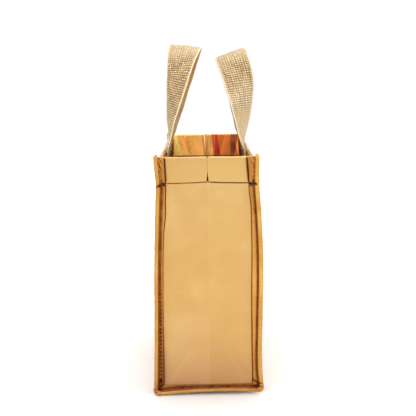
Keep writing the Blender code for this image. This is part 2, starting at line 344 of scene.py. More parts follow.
R_CORNER = 3.0
body = np.zeros((nx, len(rows), 3))
flange = np.zeros(len(rows))
out_y, out_z = np.zeros(len(rows)), np.zeros(len(rows))
groove = np.zeros((nx, len(rows)))
lining = np.zeros((nx, len(rows)))
for j, (kind, side, value) in enumerate(rows):
    x = columns.copy()
    lining[:, j] = 1.0 if kind == "inner" else (step(2.0, 1.2, value) if kind == "fold" and side < 0 else 0.0)
    if kind == "fold":
        lining[:, j] = step(1.9, 1.3, math.pi - value)
    if kind in ("inner", "fold"):
        x = x * (PANEL_X - 2.0) / PANEL_X if kind == "inner" else x * (PANEL_X - 1.0) / PANEL_X
    if kind == "outer":
        y, z = side * wide_panel(x, value, side), np.full(nx, value)
        flange[j] = 1.0 if value < RIM - 3 else 0.75
        out_y[j] = side
        # painted shade along the hem's stitch line
        groove[:, j] = 0.8 * bell(value, SEAM_Z, 0.7)
    elif kind == "inner":
        y = side * (wide_panel(x, value, side) - puff(x, value))
        z = np.full(nx, value)
        y = y + side * 0.25 * waves(x, z, 24, 50 + side) * step(SEAM_Z + 2, RIM - 6, z)
        # painted shade along the hem's stitch line, on the inner face
        groove[:, j] = 0.8 * bell(value, SEAM_Z, 0.7)
    elif kind == "fold":
        top = wide_panel(x, RIM - 1.6, side)
        half = puff(x, RIM) / 2
        y = side * (top - half - half * math.cos(value))
        z = RIM - 1.6 + 1.6 * math.sin(value) - 0.4 + 0.25 * waves(x, x * 0, 40, 70 + side)
        z = np.minimum(z, RIM - 0.4)
    elif kind == "corner":
        low = wide_panel(x, BASE + R_CORNER, side)
        y = side * (low - R_CORNER + R_CORNER * math.cos(value))
        z = base_height(x, y) + R_CORNER - R_CORNER * math.sin(value)
        flange[j] = 1.0
        out_y[j], out_z[j] = side * math.cos(value), -math.sin(value)
    else:
        reach = (wide_panel(x, BASE + R_CORNER, -1) - R_CORNER) * (value < 0) + (
            wide_panel(x, BASE + R_CORNER, 1) - R_CORNER
        ) * (value >= 0)
        y = reach * value * 0.985
        z = base_height(x, y)
        flange[j] = 1.0
        out_z[j] = -1
    body[:, j] = np.stack([x, y, z], -1)

# the flange at each end turns out into the seam
ends = []
for sign, at in ((-1, 0), (1, -1)):
    strip = np.zeros((len(FLANGE_OUT), len(rows), 3))
    for k, o in enumerate(FLANGE_OUT):
        reach = 0.3 + (o - 0.3) * flange
        strip[k] = body[at]
        strip[k, :, 0] = np.where(flange > 0, sign * (PANEL_X - 0.5), body[at][:, 0] + sign * 0.15 * (k + 1))
        strip[k, :, 1] += out_y * reach
        strip[k, :, 2] += out_z * reach
    ends.append(strip)
body = np.concatenate([ends[0][::-1], body[1:-1], ends[1]])
edge_rows = np.zeros((len(FLANGE_OUT), len(rows)))
groove = np.concatenate([edge_rows, groove[1:-1], edge_rows])
lining = np.concatenate([edge_rows + lining[:1], lining[1:-1], edge_rows + lining[:1]])
along = np.concatenate([[0], np.cumsum(np.linalg.norm(np.diff(body[len(body) // 2], axis=0), axis=1))])
uv = np.stack(np.meshgrid(body[:, 20, 0], along, indexing="ij"), -1)
body_cloth = shell("body_sheet_cloth", body, 0.7, uv, {"groove": groove, "lining": lining}, film_out=-1.0)


# ------------------------------------------------------------------ gussets
def rounded_box(y, z, y0, y1, z0, r):
    """Signed distance to a tall box open at its top, with rounded lower corners; negative inside."""
    cy, hy = (y0 + y1) / 2, (y1 - y0) / 2
    qy, qz = np.abs(y - cy) - hy + r, (z0 + r) - z
    return np.minimum(np.maximum(qy, qz), 0) + np.hypot(np.maximum(qy, 0), np.maximum(qz, 0)) - r


SLIT_Y = {"right": 1.0, "left": -0.8}
LOW_FLAT = 8.4


def crack_shade(end, y, z):
    """How dark the line is where the tape laps over the gusset."""
    front = curve(z, [(0, 0.45), (60, 0.30), (120, 0.18), (172, 0.30), (190, 0.70), (236, 0.95), (264, 0.95)])
    back = curve(z, [(0, 0.75), (60, 0.60), (205, 0.55), (225, 0.55), (236, 1.0), (264, 1.0)])
    return np.where(y < 0, front, back)


def segment_shade(y, z, start, end, wide):
    """1 on a short line from start to end, fading out over the given width."""
    (y0, z0), (y1, z1) = start, end
    size = (y1 - y0) ** 2 + (z1 - z0) ** 2
    t = np.clip(((y - y0) * (y1 - y0) + (z - z0) * (z1 - z0)) / size, 0, 1)
    away = np.hypot(y - y0 - t * (y1 - y0), z - z0 - t * (z1 - z0))
    return np.exp(-((away / wide) ** 2))


def gusset_face(end, y, z):
    """(how far the gusset's outer ply stands out of the seams' plane, its painted shade in grooves, along the seams and
    under the tape's lap) at y, z.
    """
    y0, y1 = -curve(z, FLAT[end, -1]), curve(z, FLAT[end, 1])
    d = rounded_box(y, z, y0, y1, LOW_FLAT + 0.012 * y, 3.0)
    lift = np.sqrt(np.clip(1 - (1 - np.clip(-d / 1.9, 0, 1)) ** 2, 0, 1))
    mid = SLIT_Y[end]
    across = np.clip((y - (y0 + y1) / 2) / ((y1 - y0) / 2), -1, 1)
    tall = np.sin(np.pi * np.clip((z - 4) / (SEAM_Z - 4), 0, 1))
    height = 2.3 + 1.7 * (1 - across**2) * tall + 0.5 * tall
    # a pressed crease runs down the middle, deepest under the hem, and the halves lean away from it
    over = step(70, 98, z)
    height = height - (0.022 * over - 0.016 * (1 - over)) * np.abs(y - mid) * (0.4 + 0.6 * tall)
    cross = z - 91.2 - 0.03 * (y - mid) + 0.0016 * (y - mid) ** 2
    height = height - 0.16 * np.exp(-np.abs(cross) / 0.9) * (0.35 + 0.65 * step(6, -8, y - mid))
    height = height - (0.34 + 0.25 * bell(z, SEAM_Z - 6, 12)) * np.exp(-np.abs(y - mid) / 0.9) * step(14, 60, z)
    # hem: two plies, so it stands proud of its stitches
    line = hem_line(y - mid)
    up = z - line
    height = height + 0.75 * step(0.15, 1.3, up) - 0.45 * step(RIM - 7, RIM, z)
    height = height - 0.85 * bell(up, -0.25, 0.62)
    height = height - 0.35 * bell(up, -2.5, 3.4)
    # puckers at the stitches
    wave = np.sin((y + 0.7 * np.sin(y / 9.0)) * 2 * np.pi / 3.5)
    height = height + 0.11 * wave * (bell(up, -1.6, 1.9) + 0.7 * bell(up, 1.6, 1.2))
    long_wave = np.sin(y * 2 * np.pi / 17.0 + 1.1 + 0.4 * np.sin(y / 7.0))
    height = height + 0.22 * long_wave * bell(up, -9, 9)
    # the cloth's own unevenness
    seed = 100 if end == "right" else 140
    height = height + 0.30 * waves(y, z, 60, seed) + 0.085 * waves(y, z, 15, seed + 1)
    for cy, cz, angle, wide, long, deep in (
        (-36, 26, 60, 4.0, 26, -0.55), (33, 30, 118, 4.5, 30, -0.55), (-30, 12, 20, 3.0, 22, -0.35),
        (-40, 150, 90, 3.4, 70, -0.35), (41, 120, 90, 3.2, 60, -0.35), (20, 205, 60, 5.0, 24, 0.3),
        (-22, 198, 118, 5.5, 22, 0.32), (12, 70, 80, 9.0, 40, -0.3),
    ):
        a = math.radians(angle)
        u = (y - cy) * math.cos(a) + (z - cz) * math.sin(a)
        v = -(y - cy) * math.sin(a) + (z - cz) * math.cos(a)
        height = height + deep * np.exp(-((u / long) ** 2) - (v / wide) ** 2)
    # the hem opens in a narrow notch over its middle; painted shade darkens the notch and the nick at the rim
    open_up = step(0.35, 0.9, up)
    half = 0.20 + (0.95 - 0.20) * step(11.0, 0.3, up)
    deep = 1.0 + 2.6 * step(14.0, 2.0, up)
    notch = np.exp(-((np.abs(y - mid + 0.02 * up) / half) ** 3)) * open_up
    nick = bell(z, RIM - 0.6, 1.0) * np.exp(-((y - mid) / 0.5) ** 2)
    height = height - deep * notch - 1.1 * nick
    dark = np.clip(1.0 * notch * step(15, 10, up) + 0.55 * notch + 0.7 * nick, 0, 1)
    # painted shadow under the hem's lower edge along its stitches, heavier on the back half
    right_side = step(-6, 10, y - mid)
    dark = np.maximum(dark, (0.45 + 0.5 * right_side) * bell(up, -0.35, 0.55 + 0.15 * right_side))
    # painted shadow along the line where the tape's lap stands over the gusset
    in_hem = step(SEAM_Z - 1, SEAM_Z + 3, z)
    dark = np.maximum(dark, crack_shade(end, y, z) * bell(d, 0.1 - 0.35 * in_hem, 0.75 + 0.55 * in_hem))
    # painted shade along the seams: deep along the lower front seam, faint along the others
    near = np.exp(np.minimum(d, 0) / 2.6) * step(1.5, -0.5, d)
    dark = np.maximum(dark, (0.12 + 0.42 * step(110, 30, z) * step(0, -20, y)) * near)
    # painted shade on the curved margins that run back to the seams
    dark = np.maximum(dark, step(1.4, 2.2, d))
    # painted shade in a small fold hole at the lower back corner
    dark = dark + segment_shade(y, z, (47.9, 13.9), (53.8, 9.4), 0.8)
    return height * lift, np.clip(dark, 0, 1), d


def gusset(end):
    sign = 1 if end == "right" else -1
    share = samples(
        -1.0, 1.0, 0.034,
        [(-1, 0.030, 0.005), (1, 0.030, 0.005), (SLIT_Y[end] / 45, 0.035, 0.0055)],
    )
    out = np.array([0.35, 0.7, 1.1, 2.0, 3.2])
    z_out = samples(LOW_FLAT - 0.9, RIM - 1.9, 1.5, [(SEAM_Z, 3.0, 0.26), (RIM, 1, 0.5), (LOW_FLAT, 2, 0.25)])
    z_low = np.array([3.0, 4.2, 5.4, 6.4, 7.0])
    z_out = np.concatenate([z_low, z_out])
    z_in = samples(SEAM_Z - 2.4, RIM - 1.9, 1.3, [(SEAM_Z, 2.0, 0.5)])
    folds = np.radians(np.linspace(14, 166, 9))
    rows = [("in", z) for z in z_in] + [("fold", a) for a in folds] + [("out", z) for z in z_out[::-1]]
    ncol = len(share) + 2 * len(out)
    grid, groove = np.zeros((ncol, len(rows), 3)), np.zeros((ncol, len(rows)))
    lining = np.zeros((ncol, len(rows)))

    def line(z, flange_share=1.0, most=None):
        """Y of every column at height z."""
        y0, y1 = -curve(z, FLAT[end, -1]), curve(z, FLAT[end, 1])
        flat = (y0 + y1) / 2 + share * (y1 - y0) / 2
        s0, s1 = seam_y(end, -1, z), seam_y(end, 1, z)
        low = y0 - out / out[-1] * (s0 + 3.0 * flange_share + y0)
        high = y1 + out / out[-1] * (s1 + 3.0 * flange_share - y1)
        y = np.concatenate([low[::-1], flat, high])
        if most is not None:
            y = y * min(1.0, (min(s0, s1) - most) / max(abs(y[0]), abs(y[-1])))
        return y

    top_y = line(RIM - 1.9, 1.0)
    top_h, _, _ = gusset_face(end, top_y, np.full(ncol, RIM - 1.9))
    in_y_top = line(RIM - 1.9, 0.0, 4.3)

    def inner_x(y, z):
        """The inner ply of the hem: loose, with a few creases that run down from the corners."""
        s = sign
        x = PANEL_X - 1.6 - 5.2 * step(SEAM_Z - 2.9, SEAM_Z - 0.4, z) * np.clip((RIM - z) / (RIM - SEAM_Z), 0, 1)
        mid = SLIT_Y[end]
        up = np.clip((z - SEAM_Z) / (RIM - SEAM_Z), 0, 1)
        x = x + 1.3 * np.exp(-np.abs(y - mid) / 1.6) * (0.5 + 0.5 * up)
        # flat facets between the creases
        for cy, lean, deep, wide in ((-31, 0.35, 0.9, 2.4), (-2, 0.10, 1.0, 1.8), (9, -0.12, 1.1, 2.2), (24, -0.30, 1.0, 2.6), (34, 0.25, 0.8, 2.2)):
            at = cy + lean * (RIM - z)
            x = x + deep * np.exp(-np.abs(y - at) / wide) * (0.35 + 0.65 * up) - deep * 0.25
        return s * (x + 0.2 * waves(y, z, 22, 77 if s > 0 else 78))

    for j, (kind, value) in enumerate(rows):
        if kind == "out":
            z = np.full(ncol, value)
            y = line(value)
            h, dark, d = gusset_face(end, y, z)
            x = sign * (GUSSET_X + h)
            groove[:, j] = dark
            z = z + droop(end, y) * step(LOW_FLAT, 3.0, z)
        elif kind == "in":
            lining[:, j] = 1
            z = np.full(ncol, value)
            y = line(value, 0.0, 4.3)
            x = inner_x(y, z)
            # painted shade along the hem's stitch line
            groove[:, j] = 0.8 * bell(value, SEAM_Z, 0.7)
        else:
            w = (1 - math.cos(value)) / 2  # 0 on the inner ply, 1 on the outer
            y = in_y_top * (1 - w) + top_y * w
            outer_x = sign * (GUSSET_X + top_h)
            inner = inner_x(in_y_top, np.full(ncol, RIM - 1.9))
            x = inner * (1 - w) + outer_x * w
            z = RIM - 1.9 + 1.55 * math.sin(value) + 0.10 * waves(y, y * 0, 30, 81)
            lining[:, j] = step(0.62, 0.35, w)
            nick = np.exp(-((y - SLIT_Y[end]) / 0.55) ** 2) * w
            z = z - 0.9 * nick
            # painted shade in the nick over the notch
            groove[:, j] = 0.6 * nick
        grid[:, j] = np.stack([x, y, z], -1)
    along = np.concatenate([[0], np.cumsum(np.linalg.norm(np.diff(grid[len(grid) // 2], axis=0), axis=1))])
    uv = np.stack(np.meshgrid(grid[:, len(rows) // 2, 1], along, indexing="ij"), -1)
    return shell(end + "_gusset_cloth", grid, 0.7, uv, {"groove": groove, "lining": lining}, film_out=1.0 if end == "left" else -1.0), float(along[-1])


right_cloth, GUSSET_LENGTH = gusset("right")
left_cloth, _ = gusset("left")


# ------------------------------------------------------------------ the U-shaped path of a gusset's seam
def seam_path(end, spacing=0.8):
    """Stations round the seam: (y, z, outward y, outward z, run), from the front rim down, under and up to the back rim."""
    r = 3.4
    top = RIM + 2.0
    pts = []
    for z in np.arange(top, BASE + r, -spacing):
        pts.append((-float(seam_y(end, -1, z)), z, -1.0, 0.0))
    front = float(seam_y(end, -1, BASE + r))
    back = float(seam_y(end, 1, BASE + r))
    for a in np.radians(np.arange(0, 90.1, 6.0)):
        pts.append((-(front - r) - r * math.cos(a), BASE + r - r * math.sin(a), -math.cos(a), -math.sin(a)))
    for y in np.arange(-(front - r) + spacing, back - r - spacing / 2, spacing):
        pts.append((y, BASE, 0.0, -1.0))
    for a in np.radians(np.arange(90, -0.1, -6.0)):
        pts.append((back - r + r * math.cos(a), BASE + r - r * math.sin(a), math.cos(a), -math.sin(a)))
    for z in np.arange(BASE + r + spacing, top + spacing / 2, spacing):
        pts.append((float(seam_y(end, 1, z)), z, 1.0, 0.0))
    p = np.array(pts)
    p[:, 1] += droop(end, p[:, 0]) * step(40, 8, p[:, 1])
    run = np.concatenate([[0], np.cumsum(np.hypot(np.diff(p[:, 0]), np.diff(p[:, 1])))])
    return np.column_stack([p, run])


STITCH, HEM_STITCH = 4.4, 3.5  # pitch of the stitches along the seams and along the hem


def smooth(values, reach=4):
    kernel = np.ones(2 * reach + 1) / (2 * reach + 1)
    return np.convolve(np.pad(values, reach, mode="edge"), kernel, mode="valid")


def binding(end):
    """The tape folded over the seam: its lap lies on the gusset, a stitched groove, then a rolled outer edge."""
    sign = 1 if end == "right" else -1
    path = seam_path(end)
    n = len(path)
    seed = 11 if end == "right" else 23
    y, z, oy, oz, run = path.T
    corner = np.clip(np.abs(oy * oz) * 2, 0, 1)  # 1 half way round a lower corner
    near_corner = np.exp(-((run - run[np.argmax(corner * (y < 0))]) / 7.0) ** 2) + np.exp(-((run - run[np.argmax(corner * (y > 0))]) / 7.0) ** 2)
    under = step(0.15, 0.9, -oz)
    flat = np.where(y < 0, curve(z, FLAT[end, -1]), curve(z, FLAT[end, 1]))
    lap = (np.abs(y) - flat) * (1 - under) + (LOW_FLAT + 0.012 * y - z + 0.3) * under
    lap = smooth(np.clip(lap, 2.4, 9.5))
    # the bunched bar where the hem's stitches cross the seam; the darkening it adds below is partly its dark thread and
    # partly painted shade in its crumples
    knot = bell(z, SEAM_Z - 2.0, 1.7) * (1 - under)
    hem = step(SEAM_Z + 1, SEAM_Z + 5, z)
    top = step(RIM - 0.6, RIM + 2.0, z)
    t1 = waves(run, run * 0, 37, seed)
    t2 = waves(run, run * 0 + 50, 11, seed + 1)
    t3 = waves(run, run * 0 + 90, 5.5, seed + 2)

    def by_side(front, back, low):
        return smooth(np.where(under > 0.5, low, np.where(y < 0, front, back)))

    wide_in, wide_out = (-1.9, -1.05) if end == "right" else (-1.5, -1.4)
    groove_in = by_side(wide_in, wide_out, -2.5)
    groove_out = by_side(1.55, 1.15, 2.4) + 0.35 * near_corner
    groove_in = np.maximum(groove_in, -(lap - 1.0))
    tip = by_side(5.5, 5.85, 6.3) + 0.20 * t1 + 0.12 * t2 - 0.15 * knot - 0.6 * hem * (y > 0) + 2.4 * corner**1.5
    tip = tip - 1.5 * top**2
    groove_out = groove_out + 0.5 * top**2
    depth = by_side(0.84, 0.88, 0.90) - 0.26 * hem + 0.1 * t2
    start = -(lap - 0.45)
    rows_o, rows_x, dark, lower = [], [], [], []

    def add(o, x, g, down=0.0):
        rows_o.append(np.broadcast_to(o, (n,)).astype(float))
        rows_x.append(np.broadcast_to(x, (n,)).astype(float))
        dark.append(np.broadcast_to(g, (n,)).astype(float))
        lower.append(down)

    ridge = 1.62 + 0.25 * t2 + 0.12 * t3 - 0.9 * knot
    ridge = ridge * (1 - 0.45 * under)
    low = 0.47 - 0.10 * (0.5 + 0.5 * np.cos(2 * np.pi * run / STITCH)) + 0.20 * hem
    rim_h = 1.92 + 0.22 * t1 + 0.12 * t3 - 0.6 * knot - 0.9 * top**2
    # painted shade on the tape: a shadow line where its lap meets the gusset, shade over the lap that is heaviest low
    # on the front, and shade in the stitched valley
    crack = crack_shade(end, y, z) * (1 - 0.3 * under)
    front_shade = curve(z, [(0, 0.78), (30, 0.72), (70, 0.40), (120, 0.20), (200, 0.24), (233, 0.36), (260, 0.40)])
    back_shade = curve(z, [(0, 0.38), (30, 0.32), (60, 0.16), (150, 0.12), (190, 0.26), (233, 0.38), (260, 0.42)])
    lap_shade = smooth(np.where(under > 0.5, 0.34, np.where(y < 0, front_shade, back_shade)))
    add(start, 0.55, crack, 1)
    add(start + 0.18, 0.95 + 0.15 * t2, crack * 0.6, 1)
    for s in (0.22, 0.38, 0.54, 0.7, 0.85):
        o = start + (groove_in - start) * s
        shape = np.sin(np.pi * min(1.0, s * 0.9 + 0.12)) ** 0.7
        add(o, 0.5 + (ridge - 0.5) * shape, lap_shade + 0.32 * s**3 * (1 - hem) + 0.75 * knot, 1)
    add(groove_in + 0.1, 0.75 + 0.1 * t3, 0.55 * depth + 0.3 * knot, 1)
    for s in (0.12, 0.25, 0.4, 0.55, 0.7, 0.85):
        o = groove_in + (groove_out - groove_in) * s
        dip = np.sin(np.pi * s) ** 0.8
        add(o, 0.75 - (0.75 - low) * dip + 0.10 * t3 * dip, depth * (0.62 + 0.40 * dip) + 0.4 * knot, 1)
    add(groove_out, 0.85, 0.70 * depth + 0.15 * hem, 0.6)
    width = tip - groove_out
    # painted shade on the rolled edge: darker towards its outer turn and on its underside, and on the front seams
    # darker over its outer half
    for s, up, g in (
        (0.08, 0.62, 0.42), (0.2, 0.86, 0.18), (0.35, 0.98, 0.04), (0.5, 1.0, 0.0), (0.65, 0.93, 0.05), (0.78, 0.78, 0.08),
        (0.89, 0.52, 0.16), (0.96, 0.2, 0.26), (1.0, -0.15, 0.34),
    ):
        g = g + 0.14 * smooth((y < 0) * (1 - under)) * (s > 0.45)
        add(groove_out + width * s, 0.6 + (rim_h - 0.6) * up if up > 0.6 else rim_h * up, g + 0.5 * knot * (s < 0.6))
    for s, x in ((0.985, -0.75), (0.93, -1.25), (0.82, -1.65), (0.66, -1.85), (0.48, -1.9), (0.3, -1.8), (0.14, -1.6)):
        add(0.75 + (tip - 0.75) * s, (x + 0.10 * t2) * (1 - 0.5 * top**2), 0.15 if s > 0.5 else 0.5)
    o, x, dark = np.array(rows_o).T, np.array(rows_x).T, np.array(dark).T
    lower = np.array(lower)
    m = o.shape[1]
    facing = np.zeros(m)
    facing[:24] = 1

    # puckers that the stitches pull across the tape, fine crumples in the hem's stretch, and a slow wander of the rolled edge
    beat = 0.5 + 0.5 * np.cos(2 * np.pi * run / STITCH + 0.5 * t2)
    reach = np.exp(-((o - 0.0) / 3.2) ** 2)
    x = x - 0.20 * beat[:, None] * reach * facing * (1 - 0.4 * knot[:, None])
    x = x + 0.09 * t3[:, None] * facing
    crumple = waves(run[:, None] + 0 * o, o * 1.7, 3.6, seed + 5)
    inner_part = np.exp(-((o + 1.0) / 2.4) ** 4) * facing
    x = x + (0.05 + 0.26 * hem[:, None] + 0.22 * knot[:, None]) * crumple * inner_part
    # painted shade in the hollows of the crumples
    dark = dark + (0.08 + 0.34 * hem[:, None] + 0.45 * knot[:, None]) * np.clip(-crumple, -0.3, 1) * inner_part
    # each lower corner is bunched: the groove deepens into a small hole and the edge flares; painted shade darkens the
    # hole and the crumples round it
    x = x - 1.3 * corner[:, None] ** 2 * np.exp(-((o - 0.4) / 1.3) ** 2) * facing
    x = x + 0.55 * near_corner[:, None] * crumple * np.exp(-((o - 1.5) / 3.2) ** 4) * facing
    dark = dark + 1.0 * corner[:, None] ** 2 * np.exp(-((o - 0.3) / 1.9) ** 2)
    dark = dark + 0.45 * near_corner[:, None] * np.clip(crumple, -0.4, 1) * facing * np.exp(-((o - 2.0) / 3.4) ** 2)
    # folds and small holes where the tape is bunched round each lower corner and at the knots by the hem, darkened with
    # painted shade
    at_y, at_z = y[:, None] + oy[:, None] * o, z[:, None] + oz[:, None] * o
    holes = (
        1.2 * segment_shade(at_y, at_z, (-53.7, 11.6), (-52.6, 13.8), 1.1)
        + 1.1 * segment_shade(at_y, at_z, (-58.9, 3.9), (-58.1, 3.1), 0.85)
        + 1.1 * segment_shade(at_y, at_z, (-58.6, 0.8), (-57.7, 0.1), 0.75)
        + 0.8 * segment_shade(at_y, at_z, (-54.5, 6.4), (-49.5, 9.4), 0.55)
        + segment_shade(at_y, at_z, (47.9, 13.9), (53.8, 9.4), 0.8)
        + 1.1 * segment_shade(at_y, at_z, (54.2, 9.2), (57.6, 9.5), 0.65)
        + 1.1 * segment_shade(at_y, at_z, (55.0, 5.4), (58.2, 5.9), 0.7)
    )
    holes = (
        holes
        + 1.1 * segment_shade(at_y, at_z, (-51.6, 228.8), (-44.6, 232.2), 1.0)
        + 1.0 * segment_shade(at_y, at_z, (43.4, 232.6), (46.6, 229.8), 0.9)
        + 1.1 * segment_shade(at_y, at_z, (48.6, 231.9), (51.6, 230.6), 0.9)
    )
    x = x - np.where(o > 3.2, 0.9, 0.28) * np.clip(holes, 0, 1.1) * facing
    dark = dark + 1.0 * holes
    # painted shade along the outer part of the bottom tape near the back corner
    dark = dark + 0.30 * step(34, 46, at_y) * step(0.4, 0.9, under)[:, None] * bell(o, 4.4, 1.2)
    # painted shade in the stitch holes along the lower front seam
    blobs = np.clip(np.cos(2 * np.pi * run / STITCH + 0.4 * t3), 0, 1) * step(150, 60, z) * (y < 0) * (1 - under)
    dark = dark + 0.60 * blobs[:, None] * bell(o, -1.0, 1.4)
    dark = np.clip(dark, 0, 1)

    # the seam leans: it stands in the gusset's plane, and splays a little
    lean = curve(run / run[-1], LEAN[end])
    a = np.radians(lean)[:, None]
    ro = np.where(o > 0, o * np.cos(a) - (x - 0.5) * np.sin(a) * (o > 0), o)
    rx = np.where(o > 0, x + o * np.sin(a), x)
    # the tape's lap ends level with the rim, and only its rolled edge stands above it
    up = np.clip(z - (RIM - 4.0), 0, None) * 0.40
    zz = z[:, None] + oz[:, None] * ro - up[:, None] * lower[None, :]
    middle = np.stack([sign * (GUSSET_X + rx), y[:, None] + oy[:, None] * ro, zz], -1)
    across = np.concatenate([[0], np.cumsum(np.hypot(np.diff(o[n // 3]), np.diff(x[n // 3])))])
    uv = np.stack(np.meshgrid(run, across, indexing="ij"), -1)
    return shell(end + "_binding_tape", middle, 0.5, uv, {"groove": dark}, film_out=1.0 if end == "right" else -1.0), path, float(run[-1]), float(across[-1])


LEAN = {
    "right": [(0, 4), (0.3, 6), (0.40, 8), (0.435, 18), (0.47, 14), (0.54, 10), (0.6, 8), (0.75, 6), (1, 4)],
    "left": [(0, 78), (0.08, 72), (0.16, 40), (0.3, 20), (0.42, 16), (0.5, 10), (0.6, 16), (0.75, 22), (0.86, 40), (0.93, 72), (1, 78)],
}
right_tape, right_path, TAPE_LENGTH, TAPE_WIDTH = binding("right")
left_tape, left_path, _, _ = binding("left")


# ------------------------------------------------------------------ stitches
def stitches(name, places, radius, swell=0.0):
    """Separate stitches, each a small arched bead: places are (start, end, normal) in millimetres."""
    rings, sides = 6, 6
    points, quads, fields = [], [], []
    for start, end, normal in places:
        start, end, normal = (np.asarray(v, float) for v in (start, end, normal))
        way = end - start
        length = np.linalg.norm(way)
        way = way / length
        normal = normal - way * normal.dot(way)
        normal = normal / np.linalg.norm(normal)
        other = np.cross(way, normal)
        base = len(points)
        for k in range(rings):
            t = k / (rings - 1)
            thick = radius * (0.35 + 0.65 * math.sin(math.pi * (0.12 + 0.76 * t)) ** 0.6)
            centre = start + way * length * t + normal * (radius * 0.9 * math.sin(math.pi * t) - radius * 0.35)
            for s in range(sides):
                a = 2 * math.pi * s / sides
                points.append(centre + thick * (math.cos(a) * other + math.sin(a) * normal))
                fields.append(t)
        for k in range(rings - 1):
            for s in range(sides):
                s2 = (s + 1) % sides
                quads.append((base + k * sides + s, base + k * sides + s2, base + (k + 1) * sides + s2, base + (k + 1) * sides + s))
        for ring, order in ((0, 1), (rings - 1, -1)):
            b = base + ring * sides
            loop = [b + s for s in range(sides)][::order]
            quads.append((loop[3], loop[2], loop[1], loop[0]))
            quads.append((loop[0], loop[5], loop[4], loop[3]))
    obj = mesh_object(name, points, quads, None, {"groove": fields})
    return consistent(obj)


def seam_stitches(end, path):
    sign = 1 if end == "right" else -1
    y, z, oy, oz, run = path.T
    places = []
    t = STITCH * 0.62
    while t + 3.3 < run[-1] - 3:
        a = [np.interp(t, run, v) for v in (y, z, oy, oz)]
        b = [np.interp(t + 3.3, run, v) for v in (y, z, oy, oz)]
        x = sign * (GUSSET_X + 0.54 - 0.06 * abs(a[3]))
        if a[1] < RIM - 2:
            places.append(((x, a[0], a[1]), (x, b[0], b[1]), (sign, 0, 0)))
        t += STITCH
    # the hem's row crosses each seam as a dense bar
    for side in (-1, 1):
        for k in range(6):
            zz = SEAM_Z - 0.2 - 0.75 * k
            s = float(seam_y(end, side, zz))
            zz = zz + 0.5 * math.sin(k * 1.9 + side)
            y0 = s - 5.6 + 0.7 * math.sin(k * 2.1)
            y1 = s + 1.6 + 0.8 * math.cos(k * 1.7)
            cuts = np.linspace(y0, y1, 4)
            for c0, c1 in zip(cuts, cuts[1:]):
                lift = [0.7 + 0.6 * math.exp(-(((c - s + 3.6) / 1.6) ** 2)) - 0.3 * math.exp(-(((c - s) / 1.6) ** 2)) for c in (c0, c1)]
                places.append(((sign * (GUSSET_X + lift[0]), side * c0, zz), (sign * (GUSSET_X + lift[1]), side * (c1 + 0.2), zz - 0.12), (sign, 0, 0)))
    return stitches(end + "_seam_stitches", places, 0.27)


right_stitches = seam_stitches("right", right_path)
left_stitches = seam_stitches("left", left_path)


def gusset_hem_stitches(end):
    sign = 1 if end == "right" else -1
    places = []
    y0 = -float(curve(SEAM_Z, FLAT[end, -1])) + 1.5
    y1 = float(curve(SEAM_Z, FLAT[end, 1])) - 1.5
    for y in np.arange(y0, y1 - 2.4, HEM_STITCH):
        ends = []
        for yy in (y, y + 2.5):
            zz = float(hem_line(yy - SLIT_Y[end])) - 0.25
            h, _, _ = gusset_face(end, np.array([yy]), np.array([zz]))
            ends.append((sign * (GUSSET_X + float(h[0]) + 0.35 + 0.12), yy, zz))
        places.append((ends[0], ends[1], (sign, 0, 0)))
    for y in np.arange(-40, 37, HEM_STITCH):
        x = sign * (PANEL_X - 1.6 - 5.2 - 0.50)
        places.append(((x, y, SEAM_Z), (x, y + 2.5, SEAM_Z), (-sign, 0, 0)))
    return stitches(end + "_hem_stitches", places, 0.24)


def panel_hem_stitches(side, label):
    places = []
    for x in np.arange(-PANEL_X + 3, PANEL_X - 5, HEM_STITCH):
        for inner in (0, 1):
            ends = []
            for xx in (x, x + 2.5):
                y = float(wide_panel(np.array([xx]), np.array([SEAM_Z - 0.2]), side)[0])
                y = y + 0.35 + 0.12 if not inner else y - float(puff(np.array([xx]), SEAM_Z)[0]) - 0.35 - 0.12
                ends.append((xx, side * y, SEAM_Z - 0.2))
            places.append((ends[0], ends[1], (0, side if not inner else -side, 0)))
    return stitches(label + "_hem_stitches", places, 0.3)


hem_rows = {
    "right": gusset_hem_stitches("right"),
    "left": gusset_hem_stitches("left"),
    "front": panel_hem_stitches(-1, "front"),
    "back": panel_hem_stitches(1, "back"),
}


